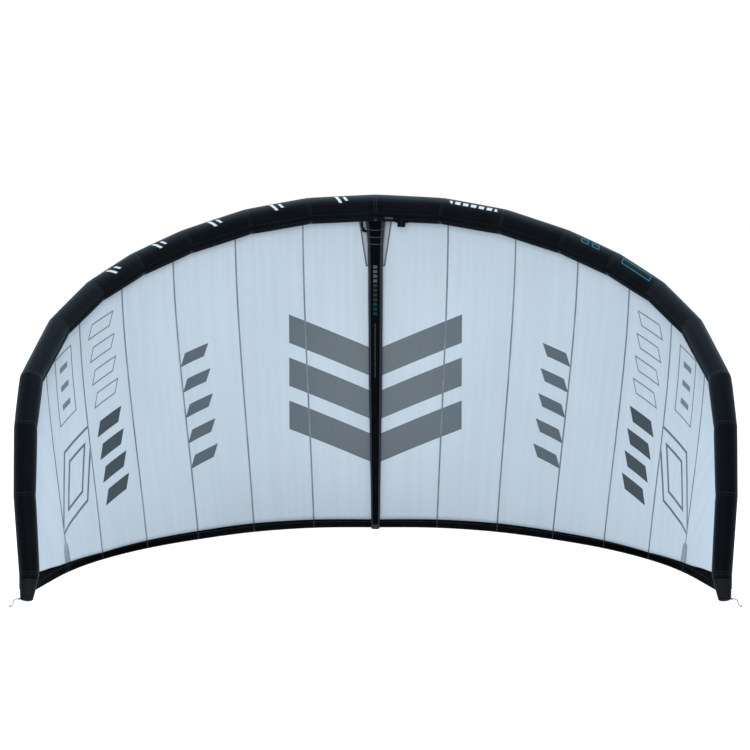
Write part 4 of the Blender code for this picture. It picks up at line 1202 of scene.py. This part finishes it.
def batten_pockets():
    """The spear-shaped pockets, crowned over their battens and stitched down at the edges."""
    finish = pocket_finish()
    columns = even_steps(POCKET_WIDTH, POCKET_COLUMNS, -POCKET_WIDTH / 2)
    places = flat_places(even_steps(POCKET_LENGTH, POCKET_ROWS), columns)
    for side in (-1, 1):
        place = batten_frame(side)
        rows = []
        for along in even_steps(2 + POCKET_REACH_SHARE, POCKET_ROWS, -1):
            half = POCKET_WIDTH / 2 * float(np.interp(along, POCKET_PLACES, POCKET_WIDTH_SHARES))
            row = []
            for across in even_steps(2, POCKET_COLUMNS, -1):
                crown = 1 - min(1.0, abs(across * half) / POCKET_CROWN_HALF) ** 2
                crown *= min(1.0, (along + 1) / POCKET_CROWN_START)
                height = POCKET_EDGE + POCKET_CROWN * max(0.0, crown) ** POCKET_CROWN_POWER
                if abs(across) == 1:
                    height = POCKET_SIDE_HEIGHT
                row.append(place @ Vector((across * half, along * POCKET_LENGTH / 2, height)))
            rows.append(row)
        word = side_word(side)
        piece = cloth_piece(f"pocket_{word}", rows, places, finish, POCKET_CLOTH)
        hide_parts(f"batten_pocket_{word}")
        declare_sheet(piece, rows)


def pocket_finish():
    """Grey cloth with a row of stitches beside the batten on each side."""
    finish = dacron("pocket_cloth", POCKET_GREY)
    along, across, _ = finish.axes("UV")
    finish.paint(finish.stitches(along, abs(across) - POCKET_STITCH_PLACE), THREAD_GREY)
    woven_bump(finish, along, across)
    return finish


def smooth_route(points, count):
    return [smooth_point(points, i * (len(points) - 1) / count) for i in range(count + 1)]


def cord_rings(points, radii, sides=20):
    """Rings round a line of points, turned as little as possible from one to the next."""
    rings, across = [], (points[1] - points[0]).orthogonal()
    for i, point in enumerate(points):
        along = (points[min(i + 1, len(points) - 1)] - points[max(i - 1, 0)]).normalized()
        across = (across - along * across.dot(along)).normalized()
        other = along.cross(across)
        rings.append([
            point + (across * math.cos(a) + other * math.sin(a)) * radii[i] for a in turn_angles(sides)
        ])
    return rings


LOOP_LENGTH = 7 * MM
LOOP_WIDTH = 12 * MM
LOOP_THICKNESS = 4 * MM
LOOP_HEIGHT = 16 * MM
WEBBING = 1.5 * MM
CORD_DIAMETER = 3.4 * MM
PIGTAIL_ROUTE = (
    (0.0000, 0.0000, 0.0160),
    (0.0090, -0.0005, 0.0158),
    (0.0170, -0.0030, 0.0125),
    (0.0210, -0.0110, 0.0065),
    (0.0195, -0.0230, 0.0021),
    (0.0155, -0.0400, 0.0019),
    (0.0150, -0.0600, 0.0019),
    (0.0190, -0.0780, 0.0019),
)
PIGTAIL_STEPS = 60
KNOT_SIZE = 3.0 * MM
KNOT_STEPS = 90
KNOT_SIDES = 14
KNOT_SWING = 0.45
KNOT_TIGHTNESS = 0.75
KNOT_CORD_RADIUS = CORD_DIAMETER * 0.42
KNOT_RISE = 2.2 * MM


def pigtail_route(side):
    start = loop_start(side)
    exit_x = start.x + side * (LOOP_LENGTH + SEAM_GAP)
    return [Vector((exit_x + side * x, start.y + y, z)) for x, y, z in PIGTAIL_ROUTE]


def loop_start(side):
    centre = JOINT_POINTS[side * LAST_JOINT + LAST_JOINT]
    return Vector((centre.x + side * (tube_radius(LAST_JOINT) + SEAM_GAP), centre.y, LOOP_HEIGHT))


def knot(name, centre, finish):
    """A stopper knot: one cord round itself in a trefoil, pulled tight."""
    points = []
    for i in range(KNOT_STEPS):
        a = 2 * math.pi * i / KNOT_STEPS
        reach = 1 + KNOT_SWING * math.cos(3 * a)
        place = Vector((reach * math.cos(2 * a), reach * math.sin(2 * a), math.sin(3 * a) * KNOT_TIGHTNESS))
        points.append(centre + place * KNOT_SIZE * KNOT_TIGHTNESS)
    points.append(points[0])
    rings = cord_rings(points, [KNOT_CORD_RADIUS] * len(points), KNOT_SIDES)
    return solid_tube(name, rings, middle_lengths(rings), finish)


def pigtails():
    """The short line that hangs from each tip's loop and lies on the ground, with a knot at its end."""
    grey = line_finish()
    for side in (-1, 1):
        word = side_word(side)
        points = smooth_route(pigtail_route(side), PIGTAIL_STEPS)
        rings = cord_rings(points, [CORD_DIAMETER / 2] * len(points))
        piece = solid_tube(f"line_{word}", rings, middle_lengths(rings), grey)
        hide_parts(f"pigtail_{word}")
        end = knot(f"line_knot_{word}", points[-1] + Vector((0, 0, KNOT_RISE)), grey)
        running_lengths(points)[-1]


LOOP_BURIED = 1.0 * MM
LOOP_BEND_START = 2.5 * MM
LOOP_BEND_STEPS = 12


def tip_loops():
    """The folded webbing loop outside each tip."""
    finish = tape_finish("loop_webbing", CHARCOAL_CLOTH, LOOP_WIDTH)
    half = (LOOP_THICKNESS - WEBBING) / 2
    turns = [math.pi / 2 - math.pi * i / LOOP_BEND_STEPS for i in range(LOOP_BEND_STEPS + 1)]
    bend = LOOP_LENGTH - half - WEBBING / 2
    outline = [(-LOOP_BURIED, half), (LOOP_BEND_START, half)]
    outline += [(bend + math.cos(a) * half, math.sin(a) * half) for a in turns]
    outline += [(LOOP_BEND_START, -half), (-LOOP_BURIED, -half)]
    across = [Vector((0, 1, 0))] * len(outline)
    for side in (-1, 1):
        start, word = loop_start(side), side_word(side)
        line = [start + Vector((side * x, 0, z)) for x, z in outline]
        piece, rows = cloth_strip(f"loop_{word}", line, across, LOOP_WIDTH, finish, WEBBING)
        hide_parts(f"tip_loop_{word}")
        declare_sheet(piece, rows, held="folded")


HOSE_DIAMETER = 9.5 * MM
PORT_STICKS_OUT = 10.0 * MM
PORT_PLACE_SHARE = -0.21
PORT_ANGLE = math.radians(-10)
STRUT_PORT_PLACE_SHARE = 0.081
ELBOW_STICKS_OUT = 17.0 * MM
ELBOW_RISE = 11.0 * MM
ELBOW_LEAN_SHARE = 0.4
HOSE_REACH = 7.0 * MM
HOSE_STEPS = 60
HOSE_SIDES = 32
HOSE_WALL = 1.2 * MM
CUFF_LENGTH = 7 * MM
CUFF_RISE = 1.1 * MM
CUFF_SLOPE = 1.5 * MM


def tube_direction(joint, angle):
    return (tube_point(joint, angle, NOSE_DIAMETER) - tube_point(joint, angle)).normalized()


def bezier(p0, p1, p2, p3, count):
    points = []
    for f in even_steps(1, count - 1):
        early, late = p0 * (1 - f) + p1 * 3 * f, p2 * 3 * (1 - f) + p3 * f
        points.append(early * (1 - f) ** 2 + late * f**2)
    return points


def hose_ends():
    """Where the hose starts and ends on its two nozzles, and the directions in which they point."""
    out = tube_direction(PORT_PLACE_SHARE, PORT_ANGLE)
    start = tube_point(PORT_PLACE_SHARE, PORT_ANGLE) + out * PORT_STICKS_OUT
    radius = strut_radius(STRUT_PORT_PLACE_SHARE)
    left = Vector((-1, 0, 0))
    side = strut_centre(STRUT_PORT_PLACE_SHARE * band_start(0), radius) + left * radius
    knee = side + left * ELBOW_STICKS_OUT
    up = start - knee
    up.x *= ELBOW_LEAN_SHARE
    up.normalize()
    return start + out * SEAM_GAP, out, knee + up * (ELBOW_RISE + SEAM_GAP), up


def hose_route(count=HOSE_STEPS):
    start, out, end, up = hose_ends()
    first, last = start + out * HOSE_DIAMETER, end + up * HOSE_DIAMETER
    return [start] + bezier(first, first + out * HOSE_REACH, last + up * HOSE_REACH, last, count) + [end]


def pump_hose():
    """The hose between the leading edge's nozzle and the strut's, with cuffs at its ends."""
    points = smooth_route(hose_route(), 2 * HOSE_STEPS)
    lengths = running_lengths(points)
    radii = []
    for length in lengths:
        from_cuff = min(length, lengths[-1] - length) - CUFF_LENGTH
        cuff = CUFF_RISE * (1 - min(1.0, max(0.0, from_cuff / CUFF_SLOPE)))
        radii.append(HOSE_DIAMETER / 2 + HOSE_WALL + cuff)
    rubber = moulded("hose_rubber", BLACK_CLOTH, 0.5, 0.04)
    piece = solid_tube("hose", cord_rings(points, radii, HOSE_SIDES), lengths, rubber)
    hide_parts("pump_hose")


# Rigid pieces, modelled as by hand
def select_only(obj, *others):
    """Selects these objects and no other, with the first one active."""
    bpy.ops.object.select_all(action="DESELECT")
    for piece in (*others, obj):
        piece.select_set(True)
    bpy.context.view_layer.objects.active = obj


def in_edit_mode(obj, face_test):
    """Edit mode with only the faces selected that pass the test."""
    bpy.context.view_layer.objects.active = obj
    bpy.ops.object.mode_set(mode="EDIT")
    bpy.ops.mesh.select_mode(type="FACE")
    bpy.ops.mesh.select_all(action="DESELECT")
    bm = bmesh.from_edit_mesh(obj.data)
    for face in bm.faces:
        face.select_set(bool(face_test(face)))
    bmesh.update_edit_mesh(obj.data)


TINY = 1e-6


def turned(name, profile, sides=96, closed=True):
    """A ring pulled through (radius, height) steps along Z, and closed into a wall or, at radius 0, a lid."""
    bpy.ops.object.select_all(action="DESELECT")
    radius, height = max(profile[0][0], TINY), profile[0][1]
    bpy.ops.mesh.primitive_circle_add(vertices=sides, radius=radius, location=(0, 0, height))
    obj = bpy.context.object
    obj.name = obj.data.name = name
    bpy.ops.object.transform_apply(location=True)
    bpy.ops.object.mode_set(mode="EDIT")
    bpy.ops.mesh.select_mode(type="EDGE")
    bpy.ops.mesh.select_all(action="SELECT")
    for to_radius, to_height in profile[1:]:
        bpy.ops.mesh.extrude_edges_move(TRANSFORM_OT_translate={"value": (0, 0, to_height - height)})
        scale = max(to_radius, TINY) / radius
        bpy.ops.transform.resize(value=(scale, scale, 1), center_override=(0, 0, to_height))
        radius, height = max(to_radius, TINY), to_height
    if closed:
        bpy.ops.mesh.select_all(action="DESELECT")
        bm = bmesh.from_edit_mesh(obj.data)
        for edge in bm.edges:
            edge.select_set(len(edge.link_faces) == 1)
        bmesh.update_edit_mesh(obj.data)
        bpy.ops.mesh.bridge_edge_loops()
    bpy.ops.mesh.select_all(action="SELECT")
    bpy.ops.mesh.remove_doubles(threshold=1e-5)
    bpy.ops.mesh.normals_make_consistent(inside=False)
    bpy.ops.object.mode_set(mode="OBJECT")
    return obj


def box_piece(name, low, high):
    """A primitive cube, sized in edit mode to fill the space between two corners."""
    low, high = Vector(low), Vector(high)
    bpy.ops.object.select_all(action="DESELECT")
    bpy.ops.mesh.primitive_cube_add(size=1)
    obj = bpy.context.object
    obj.name = obj.data.name = name
    bpy.ops.object.mode_set(mode="EDIT")
    bpy.ops.mesh.select_all(action="SELECT")
    bpy.ops.transform.resize(value=high - low)
    bpy.ops.transform.translate(value=(low + high) / 2)
    bpy.ops.object.mode_set(mode="OBJECT")
    return obj


def join(obj, *others):
    select_only(obj, *others)
    bpy.ops.object.join()
    return obj


SMOOTH_ANGLE = math.radians(35)
SHARP_ANGLE = math.radians(38)


def rigid(obj, place, body, finish, edge, segments, node):
    """Rounds a piece's sharp edges, puts it in its place, and makes it ride on its body for its node."""
    select_only(obj)
    bevel = obj.modifiers.new("Edges", "BEVEL")
    bevel.width, bevel.segments, bevel.limit_method = edge, segments, "ANGLE"
    bevel.angle_limit = SHARP_ANGLE
    bpy.ops.object.modifier_apply(modifier=bevel.name)
    obj.matrix_world = place
    bpy.ops.object.transform_apply(location=True, rotation=True, scale=True)
    bpy.ops.object.shade_smooth_by_angle(angle=SMOOTH_ANGLE)
    obj.data.materials.clear()
    obj.data.materials.append(finish.material)
    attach(obj, body)
    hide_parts(node)


CLIP_LENGTH = 10 * MM
CLIP_WIDTH = 20 * MM
CLIP_PLATE = 2.5 * MM
CLIP_PLACE_SHARE = 0.8
CLIP_RIDGES = [CLIP_WIDTH - place * MM for place in (7, 4.8, 2.6)]
CLIP_RIDGE_WIDTH = 1 * MM
CLIP_RIDGE_LENGTH_SHARE = 0.8
CLIP_RIDGE_TOP = 0.7 * MM
CLIP_OVERLAP = 0.4 * MM
CLIP_WALL_INSET = 0.6 * MM
CAD_HOSE_POINTS = 11


def hose_clip(finish):
    """Two jaws that pinch the hose, each a plate with a wall and three finger ridges."""
    route = hose_route(CAD_HOSE_POINTS)
    place = round(len(route) * CLIP_PLACE_SHARE)
    along = (route[place + 1] - route[place - 1]).normalized()
    left_side = Vector((-1, 0, 0))
    front = (left_side - along * left_side.dot(along)).normalized()
    turn = Matrix((along.cross(front), along, front)).transposed().to_4x4()
    hinge = Matrix.Translation(route[place]) @ turn @ Matrix.Translation((-CLIP_WIDTH / 2, 0, 0))
    jaw, half = HOSE_DIAMETER / 2 + SEAM_GAP, CLIP_LENGTH / 2
    outer = jaw + CLIP_PLATE
    for name, sign, body in (("clip_base", -1, AIRFRAME), ("clip_lever", 1, "hose_clip_lever")):
        plate = box_piece(name, (0, -half, jaw), (CLIP_WIDTH, half, outer))
        wall_end = (CLIP_PLATE, half, outer - CLIP_WALL_INSET)
        others = [box_piece(name + "_wall", (0, -half, SEAM_GAP / 2), wall_end)]
        for i, x in enumerate(CLIP_RIDGES):
            reach = half * CLIP_RIDGE_LENGTH_SHARE
            low = (x, -reach, outer - CLIP_OVERLAP)
            high = (x + CLIP_RIDGE_WIDTH, reach, outer + CLIP_RIDGE_TOP)
            others.append(box_piece(f"{name}_ridge_{i}", low, high))
        obj = join(plate, *others)
        if sign < 0:
            obj.data.transform(Matrix.Diagonal((1, 1, sign, 1)))
            obj.data.flip_normals()
        rigid(obj, hinge, body, finish, 0.35 * MM, 2, f"hose_{name}")


VALVE_PLACE_SHARE = 0.398
VALVE_ANGLE = math.radians(-10)
FLANGE_RADIUS = 36 * MM
FLANGE_TOP = 3 * MM
FLANGE_DRAPE = 16 * MM
NECK_RADIUS = 17.5 * MM
NECK_DEPTH = 14 * MM
VALVE_BORE = 14.5 * MM
INSERT_RADIUS = 14.2 * MM
INSERT_DEPTH = 12 * MM
INSERT_BORE = 10.8 * MM
COLLAR_RADIUS = 21 * MM
COLLAR_TOP = 10 * MM
SHOULDER_HEIGHT = 5 * MM
GRIP_LENGTH = 1.5 * MM
GRIP_WIDTH = 10 * MM
CAP_HEIGHT = 10 * MM
CAP_PLUG_DEPTH = 2.8 * MM
CAP_RIBS = 36


def valve_frame():
    """The valve's own frame: its origin on the tube's surface, Z pointing out, X along the tube."""
    out = tube_direction(VALVE_PLACE_SHARE, VALVE_ANGLE)
    along = tube_frame(0)[0]
    along = (along - out * along.dot(out)).normalized()
    turn = Matrix((along, out.cross(along), out)).transposed().to_4x4()
    return Matrix.Translation(tube_point(VALVE_PLACE_SHARE, VALVE_ANGLE)) @ turn


def inflation_valve(finish):
    """The flange and neck on the leading edge, the insert with its two grips, and the ribbed cap."""
    place = valve_frame()
    base = turned(
        "valve_flange",
        (
            (NECK_RADIUS, -FLANGE_DRAPE),
            (FLANGE_RADIUS, -FLANGE_DRAPE),
            (FLANGE_RADIUS, FLANGE_TOP - 1.5 * MM),
            (FLANGE_RADIUS - 1.2 * MM, FLANGE_TOP),
            (COLLAR_RADIUS + 6 * MM, FLANGE_TOP),
            (COLLAR_RADIUS + 5 * MM, FLANGE_TOP - 0.7 * MM),
            (COLLAR_RADIUS + 2.5 * MM, FLANGE_TOP - 0.7 * MM),
            (COLLAR_RADIUS, FLANGE_TOP + 1.5 * MM),
            (COLLAR_RADIUS, COLLAR_TOP),
            (VALVE_BORE, COLLAR_TOP),
            (VALVE_BORE, -NECK_DEPTH),
            (NECK_RADIUS, -NECK_DEPTH),
        ),
    )
    rigid(base, place, AIRFRAME, finish, 0.5 * MM, 3, "valve_base")

    seat = COLLAR_TOP + SEAM_GAP
    shoulder = seat + SHOULDER_HEIGHT
    insert = turned(
        "valve_insert_ring",
        (
            (INSERT_BORE, -INSERT_DEPTH),
            (INSERT_RADIUS, -INSERT_DEPTH),
            (INSERT_RADIUS, seat),
            (COLLAR_RADIUS, seat),
            (COLLAR_RADIUS, seat + 2.2 * MM),
            (COLLAR_RADIUS - 0.8 * MM, seat + 2.6 * MM),
            (COLLAR_RADIUS - 0.8 * MM, seat + 3.4 * MM),
            (COLLAR_RADIUS, seat + 3.8 * MM),
            (COLLAR_RADIUS, shoulder),
            (INSERT_BORE, shoulder),
        ),
    )
    inner = (INSERT_RADIUS + COLLAR_RADIUS) / 2
    grips = []
    for sign in (-1, 1):
        low, high = sorted((sign * inner, sign * (COLLAR_RADIUS + GRIP_LENGTH)))
        size = ((low, -GRIP_WIDTH / 2, seat + 1 * MM), (high, GRIP_WIDTH / 2, shoulder - 1 * MM))
        grips.append(box_piece(f"valve_grip_{sign}", *size))
    rigid(join(insert, *grips), place, "valve_insert", finish, 0.5 * MM, 3, "valve_body")

    under = shoulder + SEAM_GAP
    top = under + CAP_HEIGHT
    cap = turned(
        "valve_lid",
        (
            (0, under - CAP_PLUG_DEPTH),
            (INSERT_BORE - 0.8 * MM, under - CAP_PLUG_DEPTH),
            (INSERT_BORE - 0.8 * MM, under),
            (COLLAR_RADIUS - 0.6 * MM, under),
            (COLLAR_RADIUS - 0.6 * MM, top - 3 * MM),
            (COLLAR_RADIUS - 1.6 * MM, top - 1 * MM),
            (COLLAR_RADIUS - 4 * MM, top),
            (COLLAR_RADIUS - 6 * MM, top),
            (COLLAR_RADIUS - 7 * MM, top - 1 * MM),
            (0, top - 1 * MM),
        ),
        sides=3 * CAP_RIBS,
        closed=False,
    )

    def rib_face(face):
        middle = face.calc_center_median()
        turn = math.atan2(middle.y, middle.x) / (2 * math.pi) * CAP_RIBS
        return abs(face.normal.z) < 0.1 and middle.xy.length > COLLAR_RADIUS * 0.8 and turn % 1 < 1 / 3

    in_edit_mode(cap, rib_face)
    bpy.ops.mesh.inset(thickness=0.25 * MM, depth=0.6 * MM, use_individual=True)
    bpy.ops.object.mode_set(mode="OBJECT")
    rigid(cap, place, "valve_cap", finish, 0.2 * MM, 2, "valve_cap")


TAIL_BEVEL = 2.8 * MM
TAIL_GROOVE = 0.7 * MM


def tail_cap(finish):
    """The moulded foot at the strut's tail, with a groove under its rim."""
    height = TAIL_CAP_HEIGHT - SEAM_GAP
    centre = tail_centre()
    cap = turned(
        "strut_foot",
        (
            (0, 0),
            (TAIL_RADIUS - TAIL_BEVEL, 0),
            (TAIL_RADIUS - 0.8 * MM, 0.8 * MM),
            (TAIL_RADIUS, TAIL_BEVEL),
            (TAIL_RADIUS, height - 6 * MM),
            (TAIL_RADIUS - TAIL_GROOVE, height - 5.5 * MM),
            (TAIL_RADIUS - TAIL_GROOVE, height - 4.5 * MM),
            (TAIL_RADIUS, height - 4 * MM),
            (TAIL_RADIUS, height),
            (0, height),
        ),
        closed=False,
    )
    place = Matrix.Translation((centre.x, centre.y, 0))
    rigid(cap, place, AIRFRAME, finish, 0.3 * MM, 2, "strut_tail_cap")


FILM_COLOURS = ((0.50, 0.55, 0.57), (0.58, 0.63, 0.65))
NOZZLE_MIDDLE = (-0.060, -0.090, 1.640)
NOZZLE_REACH = (0.040, 0.075, 0.065)


def bladder_finish():
    """Clear film, black where the moulded nozzles and elbow stand out of the cloth."""
    finish = Finish("bladder_film", Roughness=0.45, Specular_IOR_Level=0.12)
    finish.cloudy(14.0, 3.0, *FILM_COLOURS)
    sides = zip(finish.axes(), NOZZLE_MIDDLE, NOZZLE_REACH)
    nozzles = functools.reduce(Socket.highest, [abs(axis - middle) - reach for axis, middle, reach in sides])
    finish.paint(nozzles.inside(), BLACK_CLOTH)
    finish.bump(finish.noise(60.0), 0.3 * MM, 0.5)
    return finish


def dress_nodes(rubber):
    """Finishes for the CAD nodes that stay: the bladders, the battens and the valve's flap."""
    film = bladder_finish()
    rod = moulded("batten_rod_finish", (0.55, 0.55, 0.48), 0.35)
    for name in ("leading_edge_bladder", "strut_bladder", "batten_left", "batten_right", "valve_flap"):
        finish = film if "bladder" in name else rod if "batten" in name else rubber
        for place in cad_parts[name].material_slots:
            place.material = finish.material


# The camera, lights and floor
def stand(name, data, place, turn):
    """A new object in the studio, for the camera or a lamp."""
    obj = bpy.data.objects.new(name, data)
    obj.location, obj.rotation_euler = place, turn
    bpy.context.scene.collection.objects.link(obj)
    return obj


def set_camera():
    data = bpy.data.cameras.new("Camera")
    data.sensor_width, data.lens = SENSOR, LENS
    turn = (math.pi / 2 + CAMERA_PITCH, 0, 0)
    bpy.context.scene.camera = stand("Camera", data, CAMERA_PLACE, turn)


def seen_by_camera(tree):
    """1 for the rays that only look at the background: the camera's, and those of gloss and glass."""
    path = tree.nodes.new("ShaderNodeLightPath")
    seen = path.outputs["Is Camera Ray"]
    for name in ("Is Glossy Ray", "Is Transmission Ray"):
        highest = tree.nodes.new("ShaderNodeMath")
        highest.operation = "MAXIMUM"
        tree.links.new(seen, highest.inputs[0])
        tree.links.new(path.outputs[name], highest.inputs[1])
        seen = highest.outputs[0]
    return seen


AMBIENT = 0.51
AMBIENT_COLOUR = (0.93, 0.97, 1.0, 1.0)


def set_world():
    """Soft light from all sides, in front of a white background."""
    world = bpy.data.worlds.new("Studio")
    bpy.context.scene.world = world
    world.use_nodes = True
    tree = world.node_tree
    plain = tree.nodes["Background"]
    plain.inputs["Color"].default_value = AMBIENT_COLOUR
    plain.inputs["Strength"].default_value = AMBIENT
    white = tree.nodes.new("ShaderNodeBackground")
    white.inputs["Color"].default_value = (1.0, 1.0, 1.0, 1.0)
    mix = tree.nodes.new("ShaderNodeMixShader")
    for i, output in enumerate((seen_by_camera(tree), plain.outputs[0], white.outputs[0])):
        tree.links.new(output, mix.inputs[i])
    tree.links.new(mix.outputs[0], tree.nodes["World Output"].inputs["Surface"])


FLOOR_SIZE = 60.0
FLOOR_GLOW = 0.92
FLOOR_DROP = 0.2 * MM
FLOOR_GREYS = (0.34, 0.36)


def floor():
    """A pale floor that looks white and keeps a faint shadow."""
    bpy.ops.object.select_all(action="DESELECT")
    bpy.ops.mesh.primitive_plane_add(size=FLOOR_SIZE, location=(0, 0, -FLOOR_DROP))
    piece = bpy.context.object
    piece.name = "floor"
    finish = Finish("floor_white", Roughness=0.9, Specular_IOR_Level=0.0, Emission_Strength=1.0)
    finish.set(Base_Color=finish.mix(finish.noise(0.8), *[(grey,) * 3 for grey in FLOOR_GREYS]))
    seen = Socket(finish, seen_by_camera(finish.tree))
    finish.set(Emission_Color=finish.mix(seen, (0.0, 0.0, 0.0), (FLOOR_GLOW,) * 3))
    piece.data.materials.append(finish.material)


# Each lamp: name, place, what it points at, size, power, colour
LAMPS = (
    ("key", (-0.2, -4.6, 1.9), (0.0, -0.1, 1.6), 2.3, 134, (1.0, 1.0, 1.0)),
    ("top", (0.0, 1.3, 6.5), (0.0, -0.1, 1.6), 4.0, 450, (0.88, 0.95, 1.0)),
)


def lamp(name, place, target, size, power, colour):
    data = bpy.data.lights.new(name, "AREA")
    data.shape, data.size, data.energy, data.color = "DISK", size, power, colour
    stand(name, data, place, (Vector(target) - Vector(place)).to_track_quat("-Z", "Y").to_euler())


def main():
    set_camera()
    pigtails()
    canopy()
    hem_band()
    leading_edge_sleeves()
    sleeve_rings()
    closing_tape()
    valve_strap()
    canopy_front_tape()
    tip_caps()
    strut_pieces()
    strut_patches()
    batten_pockets()
    tip_loops()
    pump_hose()
    black = moulded("black_plastic", BLACK_CLOTH, 0.45, 0.05)
    rubber = moulded("black_rubber", CHARCOAL_CLOTH, 0.6)
    hose_clip(black)
    inflation_valve(black)
    tail_cap(rubber)
    dress_nodes(rubber)
    bpy.context.scene.view_settings.view_transform = "Standard"
    set_world()
    floor()
    for values in LAMPS:
        lamp(*values)


main()
